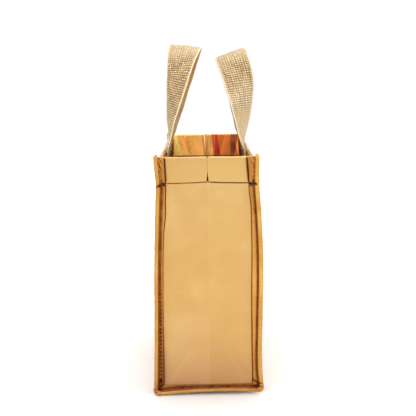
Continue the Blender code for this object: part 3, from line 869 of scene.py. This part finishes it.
# ------------------------------------------------------------------ handles
class Handle:
    """The same twisted loop as the CAD part's, with its sewn ends."""

    def __init__(self, label, side, height, lean, twist, yaw, yaw_top):
        self.label, self.side, self.height = label, side, height
        self.lean, self.twist = lean, twist
        self.yaw, self.yaw_top = yaw, yaw_top

    def route(self):
        """(x, height) from the right end's lower edge over the arch to the left end's."""
        straight = self.height - RISE
        down = [(LEG_X, h) for h in np.linspace(-27.0, 0.0, 28)[:-1]]
        up = [(LEG_X, h) for h in np.linspace(0.0, straight, 60)]
        arch = [(LEG_X * math.cos(a), straight + RISE * math.sin(a)) for a in np.linspace(0, math.pi, 160)[1:]]
        line = down + up + arch + [(-x, h) for x, h in (down + up)[::-1][1:]]
        return np.array(line)

    def frames(self, spacing):
        line = self.route()
        run = np.concatenate([[0], np.cumsum(np.hypot(*np.diff(line, axis=0).T))])
        count = int(run[-1] / spacing)
        s = np.linspace(0, run[-1], count + 1)
        x, h = np.interp(s, run, line[:, 0]), np.interp(s, run, line[:, 1])
        tx, tz = np.gradient(x), np.gradient(h)
        size = np.hypot(tx, tz)
        tx, tz = tx / size, tz / size
        inward = -self.side
        up = np.maximum(h, 0) * MM
        share = up / (self.height * MM)
        psi = np.radians(self.yaw * np.minimum(1, 3 * share) + (self.yaw_top - self.yaw) * share**3) * inward
        c, sn = np.cos(psi), np.sin(psi)
        slope_low = (3.6 - 1.2) / 29.0 - (DEPTH_BASE - DEPTH_RIM) / (RIM - BASE)
        y_in = sum(k * up ** (n + 1) for n, k in enumerate(self.lean)) / MM + np.minimum(h, 0) * slope_low
        # above its stitches a leg stands a little off the hem
        stand_off = 1.9 * step(-24, -7, h) * step(34, 8, h)
        y_in = y_in + stand_off
        strap_y = DEPTH_RIM - SHEET / 2 - 3.2 - 0.3 - 0.95
        centre = np.stack([x * c, self.side * strap_y + inward * y_in - x * sn, RIM + h], -1)
        slope = np.where(h > 0, sum((n + 1) * k * up**n for n, k in enumerate(self.lean)), slope_low)
        slope = inward * (slope_low + (slope - slope_low) * step(-2, 6, h))
        tangent = np.stack([tx * c, -tx * sn + slope * tz, tz], -1)
        tangent /= np.linalg.norm(tangent, axis=1, keepdims=True)
        in_plane = np.stack([tz * c, -tz * sn, -tx], -1)
        across = np.stack([sn, c, np.zeros_like(c)], -1) * inward
        tau = np.radians(sum(k * up ** (n + 1) for n, k in enumerate(self.twist)))[:, None]
        width = in_plane * np.cos(tau) + across * np.sin(tau)
        width -= tangent * (width * tangent).sum(1, keepdims=True)
        width /= np.linalg.norm(width, axis=1, keepdims=True)
        normal = np.cross(tangent, width) * -inward
        return centre, width, normal, tangent, s, h


HANDLES = [
    Handle("front", -1, 111.7, (0.176, -0.22, 3.4), (477.0, 6963.0, -154490.0, 1098200.0), 2.2, 2.0),
    Handle("back", 1, 103.7, (0.159, -3.30, 30.8), (1189.0, -14054.0, 205320.0, -796090.0), 0.1, -4.1),
]
RIB, WARP = 2.45, 2.75  # pitch of the webbing's cross ribs and of its lengthwise cords
PLY, BACK_PLY = 1.0, 0.6


def weave(u, v, seed, apex, ribbed):
    """Relief of the webbing, 0 in its gaps to 1 on its cords; u runs across and v along, in millimetres."""
    u = u + 0.16 * waves(u, v, 14, seed)
    v = v + 0.22 * waves(v, u, 17, seed + 1)
    rib = np.abs(np.sin(np.pi * v / RIB)) ** 0.75
    cord = np.abs(np.sin(np.pi * u / WARP)) ** 0.55
    # the glitter bridges the ribs in some places and the lengthwise gaps in others
    bridge = 0.5 + 0.5 * np.clip(waves(u, v * 0.7, 6.0, seed + 3) * 1.6, -1, 1)
    bridge = np.maximum(bridge * (1 - 0.75 * ribbed), 1.5 * apex)
    lift = (rib * (1 - 0.55 * bridge) + 0.55 * bridge) * (0.45 + 0.55 * cord)
    uneven = waves(u, v, 3.1, seed + 2) * 0.6 + waves(u * 1.3, v, 1.9, seed + 4) * 0.6
    return lift * (0.82 + 0.20 * uneven) + 0.07 * ribbed


def strap(handle):
    label, side = handle.label, handle.side
    centre, width, normal, tangent, s, h = handle.frames(0.48)
    n = len(s)
    # webbing: across from one selvage to the other
    u = np.concatenate([np.linspace(-STRAP_W / 2, -STRAP_W / 2 + 1.6, 5), np.linspace(-STRAP_W / 2 + 2.05, STRAP_W / 2 - 2.05, 66), np.linspace(STRAP_W / 2 - 1.6, STRAP_W / 2, 5)])
    m = len(u)
    U, V = np.meshgrid(u, s, indexing="xy")
    H = np.repeat(h[:, None], m, 1)
    edge = np.clip((np.abs(U) - (STRAP_W / 2 - 1.7)) / 0.25, 0, 1)
    ribbed = step(58, 22, H) if side < 0 else 0 * H
    relief = weave(U, V, 200 + side, step(0.80, 0.96, H / handle.height), ribbed)
    keys = [(0, 1.9), (30, 1.65), (70, 1.30), (88, 0.90), (100, 0.48), (112, 0.38)] if side < 0 else [(0, 1.0), (60, 0.80), (88, 0.74), (104, 0.48)]
    relief = 0.66 + (relief - 0.66) * curve(H, keys)
    # glitter has worn off low on the back handle's legs
    worn = step(48, 31, H + 4.5 * waves(U, V, 8, 300)) * step(-6, 2, H) if side > 0 else step(3, 0, H) * 0.5
    relief = relief * (1 - 0.85 * worn) + 0.55 * worn
    relief = relief * (1 - edge) + 0.75 * edge
    bead = np.sqrt(np.clip(1 - ((np.abs(U) - (STRAP_W / 2 - 0.75)) / 0.85) ** 2, 0, 1))
    outer = 0.20 + PLY * 0.62 + 0.34 * relief * (1 - edge) + 0.46 * bead * edge
    outer = outer * np.clip((STRAP_W / 2 - np.abs(U)) / 0.5 + 0.35, 0, 1) ** 0.5
    wander = 0.18 * waves(V, V * 0 + np.sign(U) * 40, 21, 410 + side) * (np.abs(U) / (STRAP_W / 2)) ** 3
    cup = -0.7 * (U / (STRAP_W / 2)) ** 2 * step(8, 40, H) + 0.25 * waves(V, U, 34, 420 + side) * step(6, 30, H)
    base = centre[:, None] + width[:, None] * (U + wander)[..., None] + normal[:, None] * cup[..., None]
    face = base + normal[:, None] * outer[..., None]
    back = base + normal[:, None] * (0.02 + 0 * outer)[..., None]
    k = n * m
    points = np.concatenate([face.reshape(-1, 3), back.reshape(-1, 3)])
    quads = [grid_quads(n, m), grid_quads(n, m, k, True)]
    ring = np.concatenate([np.arange(m), np.arange(1, n) * m + m - 1, (n - 1) * m + np.arange(m - 2, -1, -1), np.arange(n - 2, 0, -1) * m])
    after = np.roll(ring, -1)
    quads.append(np.stack([ring, after, after + k, ring + k], -1)[:, ::-1])
    uvs = np.stack([U, V], -1).reshape(-1, 2)
    fields = {
        "relief": np.concatenate([relief.ravel(), np.full(k, 0.6)]),
        "edge": np.concatenate([edge.ravel(), edge.ravel()]),
        "worn": np.concatenate([worn.ravel(), np.full(k, 1.0)]),
        # a paler band low on the back handle: painted highlight
        "pale": np.concatenate([(bell(H, 54, 17) if side > 0 else 0 * H).ravel(), np.zeros(k)]),
    }
    webbing = consistent(mesh_object(label + "_strap_webbing", points, np.concatenate(quads), np.concatenate([uvs, uvs]), fields))
    # backing: a smooth ribbon on the inner side, a little narrower
    ub = np.concatenate([[-STRAP_W / 2 + 0.7, -STRAP_W / 2 + 0.9], np.linspace(-STRAP_W / 2 + 1.4, STRAP_W / 2 - 1.4, 24), [STRAP_W / 2 - 0.9, STRAP_W / 2 - 0.7]])
    skip = slice(None, None, 2)
    UB, VB = np.meshgrid(ub, s[skip], indexing="xy")
    HB = np.repeat(h[skip][:, None], len(ub), 1)
    cupb = -0.7 * (UB / (STRAP_W / 2)) ** 2 * step(8, 40, HB) + 0.25 * waves(VB, UB, 34, 420 + side) * step(6, 30, HB)
    ripple = 0.05 * np.sin(VB * 2 * np.pi / 2.45) + 0.10 * waves(VB, UB, 12, 430 + side)
    thick = np.clip((STRAP_W / 2 - 0.6 - np.abs(UB)) / 0.5, 0.25, 1)
    mid = centre[skip][:, None] + width[skip][:, None] * UB[..., None]
    top = mid + normal[skip][:, None] * (cupb - 0.08)[..., None]
    low = mid + normal[skip][:, None] * (cupb - 0.10 - (0.62 + ripple) * thick)[..., None]
    nb, mb = UB.shape
    kb = nb * mb
    ring = np.concatenate([np.arange(mb), np.arange(1, nb) * mb + mb - 1, (nb - 1) * mb + np.arange(mb - 2, -1, -1), np.arange(nb - 2, 0, -1) * mb])
    after = np.roll(ring, -1)
    quads = np.concatenate([grid_quads(nb, mb), grid_quads(nb, mb, kb, True), np.stack([ring, after, after + kb, ring + kb], -1)[:, ::-1]])
    uvs = np.stack([UB, VB], -1).reshape(-1, 2)
    backing = consistent(mesh_object(label + "_strap_backing", np.concatenate([top.reshape(-1, 3), low.reshape(-1, 3)]), quads, np.concatenate([uvs, uvs])))
    for piece in (webbing, backing):
        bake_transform(piece)
    # squares of stitching through the sewn ends, seen on the smooth side
    made = []
    for way, x_mid in (("right", LEG_X), ("left", -LEG_X)):
        places = []
        x0, x1, z0, z1 = x_mid - 14, x_mid + 14, RIM - 24.5, RIM - 4.5
        loop = [(x0, z0), (x1, z0), (x1, z1), (x0, z1), (x0, z0), (x1, z1), (x1, z0), (x0, z1)]
        pairs = [(loop[i], loop[i + 1]) for i in range(4)] + [((x0, z0), (x1, z1)), ((x1, z0), (x0, z1))]
        for (ax, az), (bx, bz) in pairs:
            length = math.hypot(bx - ax, bz - az)
            count = int(length / 2.8)
            for i in range(count):
                t0, t1 = (i + 0.12) / count, (i + 0.85) / count
                ends = []
                for t in (t0, t1):
                    xx, zz = ax + (bx - ax) * t, az + (bz - az) * t
                    i0 = int(np.argmin(np.hypot(centre[:, 0] - x_mid, centre[:, 2] - zz)))
                    ends.append((xx, centre[i0, 1] - side * (0.70 + 0.12), zz))
                places.append((ends[0], ends[1], (0, -side, 0)))
        made.append(stitches(f"{label}_{way}_end_stitches", places, 0.27))
    return webbing, backing, made


straps = {handle.label: strap(handle) for handle in HANDLES}


# ------------------------------------------------------------------ materials
def linear(r, g, b):
    """A colour given as 0 to 255 screen values."""
    def one(v):
        v /= 255
        return v / 12.92 if v <= 0.04045 else ((v + 0.055) / 1.055) ** 2.4
    return (one(r), one(g), one(b), 1.0)


class Nodes:
    """Short calls for building one material's node tree."""

    def __init__(self, name):
        self.mat = bpy.data.materials.new(name)
        self.mat.use_nodes = True
        self.tree = self.mat.node_tree
        self.shader = self.tree.nodes["Principled BSDF"]
        self.coords = self.tree.nodes.new("ShaderNodeTexCoord")

    def put(self, kind, inputs=None, **settings):
        node = self.tree.nodes.new("ShaderNode" + kind)
        for key, value in settings.items():
            setattr(node, key, value)
        for key, value in (inputs or {}).items():
            self.plug(node, key, value)
        return node

    def plug(self, node, key, value):
        if isinstance(value, bpy.types.NodeSocket):
            self.tree.links.new(value, node.inputs[key])
        else:
            node.inputs[key].default_value = value

    def maths(self, operation, a, b=0.0, c=0.0, clamp=False):
        node = self.put("Math", {0: a, 1: b, 2: c}, operation=operation)
        node.use_clamp = clamp
        return node.outputs[0]

    def span(self, value, a, b, c=0.0, d=1.0):
        """Value mapped from a..b to c..d smoothly and clamped."""
        node = self.put(
            "MapRange", {"Value": value, "From Min": a, "From Max": b, "To Min": c, "To Max": d},
            interpolation_type="SMOOTHSTEP",
        )
        return node.outputs[0]

    def mix(self, share, a, b, blend="MIX"):
        node = self.put("Mix", data_type="RGBA", blend_type=blend)
        node.clamp_factor = True
        for index, value in ((0, share), (6, a), (7, b)):
            self.plug(node, index, value)
        return node.outputs[2]

    def noise(self, vector, scale, detail=3.0, rough=0.5, distortion=0.0):
        node = self.put("TexNoise", {"Vector": vector, "Scale": scale, "Detail": detail, "Roughness": rough, "Distortion": distortion})
        return node.outputs[0]

    def voronoi(self, vector, scale, feature="F1", output="Distance", randomness=1.0):
        node = self.put("TexVoronoi", {"Vector": vector, "Scale": scale, "Randomness": randomness}, feature=feature)
        return node.outputs[output]

    def stretch(self, vector, scale):
        return self.put("Mapping", {"Vector": vector, "Scale": scale}).outputs[0]

    def attribute(self, name):
        return self.put("Attribute", attribute_name=name, attribute_type="GEOMETRY").outputs["Fac"]

    def bump(self, height, distance, strength=1.0, normal=None):
        inputs = {"Height": height, "Distance": distance, "Strength": strength}
        if normal is not None:
            inputs["Normal"] = normal
        return self.put("Bump", inputs).outputs[0]

    def set(self, **values):
        for key, value in values.items():
            self.plug(self.shader, key.replace("_", " "), value)


def film_material(name, tint=1.0, glossy=False):
    """Metallic gold film laminated to non-woven cloth; the cloth itself shows where "inner" is 1."""
    n = Nodes(name)
    p = n.coords.outputs["Object"]
    xyz = n.put("SeparateXYZ", {0: p})
    groove, inner = n.attribute("groove"), n.attribute("inner")
    cloudy = n.noise(p, 11.0, 4.0, 0.55)
    patch = n.noise(p, 34.0, 3.0, 0.55, 0.4)
    fine = n.noise(p, 620.0, 3.0, 0.6)
    grain = n.noise(p, 1900.0, 2.0, 0.6)
    fibre = n.noise(n.stretch(p, (1.0, 1.0, 0.22)), 900.0, 3.0, 0.65)
    base = n.mix(n.span(cloudy, 0.36, 0.66), linear(202, 159, 96), linear(209, 171, 109))
    base = n.mix(n.maths("MULTIPLY", n.span(patch, 0.45, 0.72), 0.35), base, linear(195, 152, 89))
    # it is a little duller and pinker near the floor
    low = n.span(xyz.outputs["Z"], 0.085, -0.004, 0.0, 0.95)
    base = n.mix(n.maths("MULTIPLY", low, n.span(cloudy, 0.3, 0.6, 0.7, 1.0)), base, linear(180, 130, 87))
    hem = n.span(xyz.outputs["Z"], 0.2325, 0.2345, 0.0, 0.55)
    base = n.mix(hem, base, linear(203, 163, 96))
    # flat-packed, the gusset was folded in four; painted light makes its lower front part and its upper back part a
    # little lighter, as the halves face different ways on each side of the crease
    on_gusset = n.span(n.maths("ABSOLUTE", xyz.outputs["X"]), 0.1048, 0.1056)
    below, before = n.span(xyz.outputs["Z"], 0.0930, 0.0896), n.span(xyz.outputs["Y"], 0.0020, 0.0002)
    painted_light_quarter = n.maths("MULTIPLY", on_gusset, n.maths("MULTIPLY", below, before))
    base = n.mix(n.maths("MULTIPLY", painted_light_quarter, 0.13), base, linear(216, 178, 134))
    painted_light_quarter = n.maths("MULTIPLY", on_gusset, n.maths("MULTIPLY", n.maths("SUBTRACT", 1.0, below), n.maths("SUBTRACT", 1.0, before)))
    base = n.mix(n.maths("MULTIPLY", painted_light_quarter, 0.09), base, linear(226, 192, 122))
    speck = n.maths("MULTIPLY", n.span(grain, 0.52, 0.75), 0.22)
    base = n.mix(speck, base, linear(236, 204, 142))
    dust = n.maths("MULTIPLY", n.span(fine, 0.55, 0.80), 0.16)
    base = n.mix(dust, base, linear(150, 104, 56))
    # painted shade: the groove field darkens the film brown in the stitch lines, the hem's notch, along the seams and
    # under the tape's lap
    base = n.mix(n.maths("MULTIPLY", groove, 0.97), base, linear(88, 38, 14))
    # the turned-in hem is glossier; its colour is painted reflection of the gold film inside the bag, in slanting bands
    # on the far gusset and a deeper orange elsewhere, with painted shade in dark marks under the rim
    lining = n.attribute("lining")
    yy, zz = xyz.outputs["Y"], xyz.outputs["Z"]
    drop = n.put("MapRange", {"Value": zz, "From Min": 0.260, "From Max": 0.231}).outputs[0]
    unsure = n.maths("MULTIPLY", n.maths("SUBTRACT", n.noise(p, 120.0, 2.0), 0.5), 0.0014)
    here = n.maths("ADD", yy, unsure)

    def edge_at(top, bottom, soft):
        """1 on the +Y side of a slanting crease: its Y at the rim and at the hem's stitches, in millimetres."""
        line = n.maths("MULTIPLY_ADD", drop, (bottom - top) * MM, top * MM)
        return n.span(n.maths("SUBTRACT", here, line), -soft * MM, soft * MM)

    def facet(base, colour, left, right, soft=0.5, strength=1.0):
        share = n.maths("MULTIPLY", edge_at(*left, soft), n.maths("SUBTRACT", 1.0, edge_at(*right, soft)))
        return n.mix(n.maths("MULTIPLY", share, strength), base, linear(*colour))

    # painted reflection on the far gusset's inner ply: yellow, orange and red bands, one per facet of its film
    painted_reflections = n.mix(n.span(patch, 0.38, 0.66), linear(246, 182, 96), linear(238, 166, 84))
    painted_reflections = facet(painted_reflections, (255, 222, 119), (-70, -70), (-38.9, -29.2), 0.6)
    painted_reflections = facet(painted_reflections, (200, 148, 98), (-5, -1), (4, 3.5), 2.2, 0.7)
    painted_reflections = facet(painted_reflections, (222, 122, 58), (7, 9), (90, 90), 0.8)
    painted_reflections = facet(painted_reflections, (196, 76, 44), (6.8, 9.6), (9.6, 11.6), 0.5, 0.8)
    painted_reflections = facet(painted_reflections, (176, 58, 38), (11.4, 9.9), (14.0, 18.6), 0.6)
    painted_reflections = facet(painted_reflections, (150, 84, 52), (31.6, 30.2), (41.3, 35.3), 0.9)
    painted_reflections = facet(painted_reflections, (240, 146, 70), (41.5, 35.5), (90, 90), 0.5)
    is_far = n.span(xyz.outputs["X"], -0.090, -0.098)
    # painted reflection on the rest of the lining: a deeper orange, as from the gold film facing it
    plain = n.mix(n.span(patch, 0.4, 0.7), linear(200, 138, 52), linear(172, 100, 34))
    # painted shade: dark marks below the rim
    crease_shade = n.maths("MULTIPLY", n.span(n.noise(n.stretch(p, (0.6, 0.6, 0.12)), 210.0, 3.0), 0.46, 0.60, 0.0, 0.85), n.span(zz, 0.2592, 0.2555, 0.12, 1.0))
    plain = n.mix(crease_shade, plain, linear(98, 50, 18))
    plain = n.mix(n.span(zz, 0.2575, 0.2592), plain, linear(206, 162, 92))
    lining_colour = n.mix(is_far, plain, painted_reflections)
    base = n.mix(lining, base, lining_colour)
    cloth = n.mix(n.span(fibre, 0.35, 0.7), linear(186, 146, 94), linear(216, 180, 126))
    cloth = n.mix(n.maths("MULTIPLY", n.span(patch, 0.4, 0.7), 0.3), cloth, linear(160, 120, 76))
    colour = n.mix(inner, base, cloth)
    rough = n.span(n.noise(p, 60.0, 4.0, 0.6), 0.3, 0.7, 0.36, 0.47)
    rough = n.maths("ADD", rough, n.maths("MULTIPLY", groove, 0.25))
    rough = n.put("Mix", {0: inner, 2: rough, 3: 0.85}, data_type="FLOAT").outputs[0]
    metal = n.maths("MULTIPLY", n.maths("SUBTRACT", 1.0, inner), n.maths("ADD", 0.88, n.maths("MULTIPLY", groove, 0.10)))
    near_lining = n.maths("MULTIPLY", lining, n.maths("SUBTRACT", 1.0, is_far))
    metal = n.maths("MULTIPLY", metal, n.maths("SUBTRACT", 1.0, n.maths("MULTIPLY", near_lining, 0.55)))
    rough = n.maths("SUBTRACT", rough, n.maths("MULTIPLY", lining, 0.17))
    height = n.maths("ADD", n.maths("MULTIPLY", grain, 0.45), n.maths("MULTIPLY", fine, 0.55))
    relief = n.bump(height, 0.00011, 0.55)
    crinkle = n.noise(n.stretch(p, (1.0, 1.0, 0.55)), 150.0, 5.0, 0.62, 0.6)
    relief = n.bump(crinkle, 0.0007, 0.30, relief)
    n.set(Base_Color=colour, Roughness=rough, Metallic=metal, Normal=relief)
    n.set(Specular_IOR_Level=0.5, IOR=1.48)
    n.mat["surface"] = "metallic gold film on non-woven cloth"
    return n.mat


def tape_material():
    """Glossier orange-gold binding tape with painted shade in its stitched grooves, and fine cross wrinkles."""
    n = Nodes("gold_binding_tape_finish")
    p = n.coords.outputs["Object"]
    xyz = n.put("SeparateXYZ", {0: p})
    groove = n.attribute("groove")
    cloudy = n.noise(p, 40.0, 4.0, 0.6)
    fine = n.noise(p, 800.0, 3.0, 0.6)
    base = n.mix(n.span(cloudy, 0.35, 0.68), linear(198, 143, 68), linear(213, 165, 88))
    base = n.mix(n.maths("MULTIPLY", n.span(fine, 0.5, 0.78), 0.32), base, linear(146, 88, 36))
    base = n.mix(n.span(xyz.outputs["Z"], 0.030, 0.004, 0.0, 0.45), base, linear(168, 122, 76))
    # painted shade: the groove field turns the tape brown to near black in its stitched valley, along the lap's shadow
    # line, in the corner holes and at the knots
    base = n.mix(n.span(groove, 0.05, 0.62, 0.0, 0.85), base, linear(160, 92, 34))
    base = n.mix(n.span(groove, 0.50, 1.0, 0.0, 0.90), base, linear(96, 43, 14))
    base = n.mix(n.span(groove, 0.93, 1.0, 0.0, 0.85), base, linear(40, 15, 6))
    rough = n.span(cloudy, 0.3, 0.7, 0.28, 0.40)
    rough = n.maths("ADD", rough, n.maths("MULTIPLY", groove, 0.25))
    metal = n.maths("ADD", 0.90, n.maths("MULTIPLY", groove, 0.08))
    # wrinkles run across the tape
    wrinkle = n.noise(n.stretch(p, (0.45, 0.45, 1.0)), 420.0, 4.0, 0.65, 0.5)
    relief = n.bump(wrinkle, 0.0006, 0.55)
    relief = n.bump(fine, 0.00012, 0.6, relief)
    n.set(Base_Color=base, Roughness=rough, Metallic=metal, Normal=relief)
    n.set(Coat_Weight=0.04, Coat_Roughness=0.25)
    return n.mat


def thread_material():
    n = Nodes("brown_gold_thread_finish")
    p = n.coords.outputs["Object"]
    strand = n.noise(n.stretch(p, (1.0, 1.0, 1.0)), 3200.0, 2.0, 0.6)
    shade = n.noise(p, 260.0, 2.0, 0.5)
    base = n.mix(n.span(shade, 0.3, 0.7), linear(84, 46, 18), linear(112, 64, 27))
    base = n.mix(n.span(strand, 0.45, 0.7, 0.0, 0.5), base, linear(52, 26, 10))
    relief = n.bump(strand, 0.00012, 0.8)
    n.set(Base_Color=base, Normal=relief, Roughness=n.span(strand, 0.3, 0.7, 0.5, 0.7))
    n.set(Specular_IOR_Level=0.2)
    return n.mat


def webbing_material():
    """Beige webbing set with glitter: sparkling cords, brown gaps and a cream selvage."""
    n = Nodes("glitter_webbing_finish")
    uv = n.put("UVMap", uv_map="cloth").outputs[0]
    relief, edge, worn = n.attribute("relief"), n.attribute("edge"), n.attribute("worn")
    patch = n.noise(uv, 70.0, 3.0, 0.55)
    fleck = n.noise(uv, 900.0, 3.0, 0.7)
    base = n.mix(n.span(relief, 0.42, 0.86), linear(116, 78, 36), linear(214, 190, 145))
    base = n.mix(n.maths("MULTIPLY", n.span(patch, 0.4, 0.7), 0.35), base, linear(206, 176, 122))
    base = n.mix(n.maths("MULTIPLY", n.span(fleck, 0.52, 0.72), 0.34), base, linear(132, 102, 64))
    # painted highlight: a paler band low on the back handle
    base = n.mix(n.maths("MULTIPLY", n.attribute("pale"), n.span(relief, 0.3, 0.8, 0.10, 0.45)), base, linear(228, 210, 178))
    cells = n.voronoi(uv, 1150.0, output="Color")
    parts = n.put("SeparateColor", {0: cells})
    high = n.span(relief, 0.45, 0.8)
    unworn = n.maths("SUBTRACT", 1.0, n.maths("MULTIPLY", worn, 0.92))
    flat = n.maths("SUBTRACT", 1.0, n.maths("MULTIPLY", edge, 0.75))
    sparkle = n.maths("MULTIPLY", n.span(parts.outputs[0], 0.70, 0.78), n.maths("MULTIPLY", high, n.maths("MULTIPLY", unworn, flat)))
    # the flakes are pale gold of their own; the brightest are painted near white, a painted glint
    painted_glints = n.maths("MULTIPLY", n.span(parts.outputs[1], 0.74, 0.80), sparkle)
    base = n.mix(n.maths("MULTIPLY", sparkle, 0.55), base, linear(240, 220, 180))
    base = n.mix(n.maths("MULTIPLY", painted_glints, 0.7), base, linear(252, 242, 218))
    threads = n.noise(n.stretch(uv, (1.0, 0.06, 1.0)), 620.0, 3.0, 0.6)
    smooth = n.mix(n.span(threads, 0.34, 0.68), linear(178, 151, 106), linear(206, 183, 141))
    base = n.mix(n.maths("MULTIPLY", worn, 0.9), base, smooth)
    # selvage: pale twisted edge
    xyz = n.put("SeparateXYZ", {0: uv})
    turn = n.maths("SINE", n.maths("MULTIPLY", xyz.outputs["Y"], 2 * math.pi / 0.0016))
    pale = n.mix(n.span(turn, -0.6, 0.8), linear(206, 184, 146), linear(242, 234, 212))
    base = n.mix(edge, base, pale)
    # every flake tips its own way
    geometry = n.put("NewGeometry")
    tip = n.put("VectorMath", {0: cells, 1: (0.5, 0.5, 0.5)}, operation="SUBTRACT").outputs[0]
    amount = n.maths("MULTIPLY", sparkle, 0.8)
    tip = n.put("VectorMath", {0: tip, "Scale": amount}, operation="SCALE").outputs[0]
    cord_bump = n.bump(n.noise(uv, 1500.0, 3.0, 0.65), 0.00022, 0.8)
    normal = n.put("VectorMath", {0: cord_bump, 1: tip}, operation="ADD").outputs[0]
    normal = n.put("VectorMath", {0: normal}, operation="NORMALIZE").outputs[0]
    rough = n.maths("SUBTRACT", 0.62, n.maths("MULTIPLY", sparkle, 0.40))
    metal = n.maths("MULTIPLY", sparkle, 0.65)
    n.set(Base_Color=base, Roughness=rough, Metallic=metal, Normal=normal)
    n.set(Sheen_Weight=0.02, Sheen_Roughness=0.5, Specular_IOR_Level=0.30)
    return n.mat


def backing_material():
    """Smooth satin ribbon, golden brown, with fine ribs across it."""
    n = Nodes("smooth_backing_finish")
    uv = n.put("UVMap", uv_map="cloth").outputs[0]
    xyz = n.put("SeparateXYZ", {0: uv})
    rib = n.maths("SINE", n.maths("MULTIPLY", xyz.outputs["Y"], 2 * math.pi / 0.0009))
    patch = n.noise(uv, 45.0, 4.0, 0.55)
    fine = n.noise(n.stretch(uv, (0.3, 1.0, 1.0)), 1400.0, 3.0, 0.6)
    base = n.mix(n.span(patch, 0.35, 0.68), linear(190, 142, 66), linear(208, 163, 84))
    base = n.mix(n.span(fine, 0.5, 0.75, 0.0, 0.35), base, linear(140, 94, 42))
    height = n.maths("ADD", n.maths("MULTIPLY", rib, 0.3), fine)
    n.set(Base_Color=base, Roughness=n.span(patch, 0.3, 0.7, 0.38, 0.5), Normal=n.bump(height, 0.00012, 0.7))
    n.set(Sheen_Weight=0.08, Sheen_Roughness=0.35, Specular_IOR_Level=0.35, Metallic=0.35)
    return n.mat


FILM = film_material("gold_film_finish")
TAPE = tape_material()
THREAD = thread_material()
WEB = webbing_material()
BACKING = backing_material()


def finish_with(obj, material):
    obj.data.materials.clear()
    obj.data.materials.append(material)


finish_with(body_cloth, FILM)
finish_with(right_cloth, FILM)
finish_with(left_cloth, FILM)
finish_with(right_tape, TAPE)
finish_with(left_tape, TAPE)
for piece in (right_stitches, left_stitches, *hem_rows.values()):
    finish_with(piece, THREAD)
for label, (webbing, backing, made) in straps.items():
    finish_with(webbing, WEB)
    finish_with(backing, BACKING)
    for piece in made:
        finish_with(piece, THREAD)

# ------------------------------------------------------------------ which CAD nodes each piece stands for
for piece in (body_cloth, right_cloth, left_cloth, right_tape, left_tape, right_stitches, left_stitches, *hem_rows.values()):
    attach(piece, "bag")
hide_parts("body_sheet")
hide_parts("right_gusset")
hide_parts("left_gusset")
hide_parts("right_edge_binding")
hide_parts("left_edge_binding")
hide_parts("right_seam_thread")
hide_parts("left_seam_thread")
for label, piece in hem_rows.items():
    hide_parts(label + "_hem_thread")
for label, (webbing, backing, made) in straps.items():
    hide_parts(label + "_handle_webbing", label + "_handle_right_end", label + "_handle_left_end")
    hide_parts(label + "_handle_backing")
    for way, piece in zip(("right", "left"), made):
        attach(piece, "bag")
        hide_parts(f"{label}_handle_{way}_stitching")

# ------------------------------------------------------------------ floor, light and camera
def stage_floor():
    mesh = bpy.data.meshes.new("floor")
    size = 14.0
    mesh.from_pydata([(-size, -size, 0), (size, -size, 0), (size, size, 0), (-size, size, 0)], [], [(0, 1, 2, 3)])
    floor = bpy.data.objects.new("floor", mesh)
    bpy.context.scene.collection.objects.link(floor)
    n = Nodes("pale_floor")
    p = n.coords.outputs["Object"]
    n.set(Base_Color=n.mix(n.noise(p, 3.0), (0.915, 0.915, 0.915, 1), (0.935, 0.935, 0.935, 1)), Roughness=0.9, Specular_IOR_Level=0.1)
    mesh.materials.append(n.mat)
    floor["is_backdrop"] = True
    return floor


floor = stage_floor()
floor.location.z = min(0.0, float(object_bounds()[0][2])) - 0.0001
world = bpy.data.worlds.new("studio")
bpy.context.scene.world = world
world.use_nodes = True
world.node_tree.nodes["Background"].inputs[0].default_value = (1.0, 1.0, 1.0, 1.0)
world.node_tree.nodes["Background"].inputs[1].default_value = 1.08


def lamp(name, at, target, size, power):
    data = bpy.data.lights.new(name, "AREA")
    data.shape = "DISK"
    data.size, data.energy = size, power
    obj = bpy.data.objects.new(name, data)
    bpy.context.scene.collection.objects.link(obj)
    from mathutils import Vector

    way = Vector(target) - Vector(at)
    obj.matrix_world = Matrix.Translation(at) @ way.to_track_quat("-Z", "Y").to_matrix().to_4x4()
    return obj


lamp("key", (1.6, -1.3, 1.5), (0, 0, 0.2), 1.1, 14)
lamp("fill", (1.2, 1.8, 1.2), (0, 0, 0.2), 1.6, 9)
lamp("top", (-0.4, 0.2, 2.4), (0, 0, 0.2), 1.4, 12)
lamp("back", (-1.8, 0.4, 1.4), (0, 0, 0.2), 1.4, 8)

camera_data = bpy.data.cameras.new("camera")
camera_data.lens, camera_data.sensor_width = 67.54, 36.0
camera = bpy.data.objects.new("camera", camera_data)
bpy.context.scene.collection.objects.link(camera)
camera.matrix_world = (
    Matrix.Translation((0.905, 0.00105, 0.3719))
    @ Matrix.Rotation(math.radians(90), 4, "Z")
    @ Matrix.Rotation(math.radians(90 - 11.74), 4, "X")
    @ Matrix.Rotation(math.radians(-0.7), 4, "Z")
)
bpy.context.scene.camera = camera
bpy.context.scene.view_settings.view_transform = "Standard"
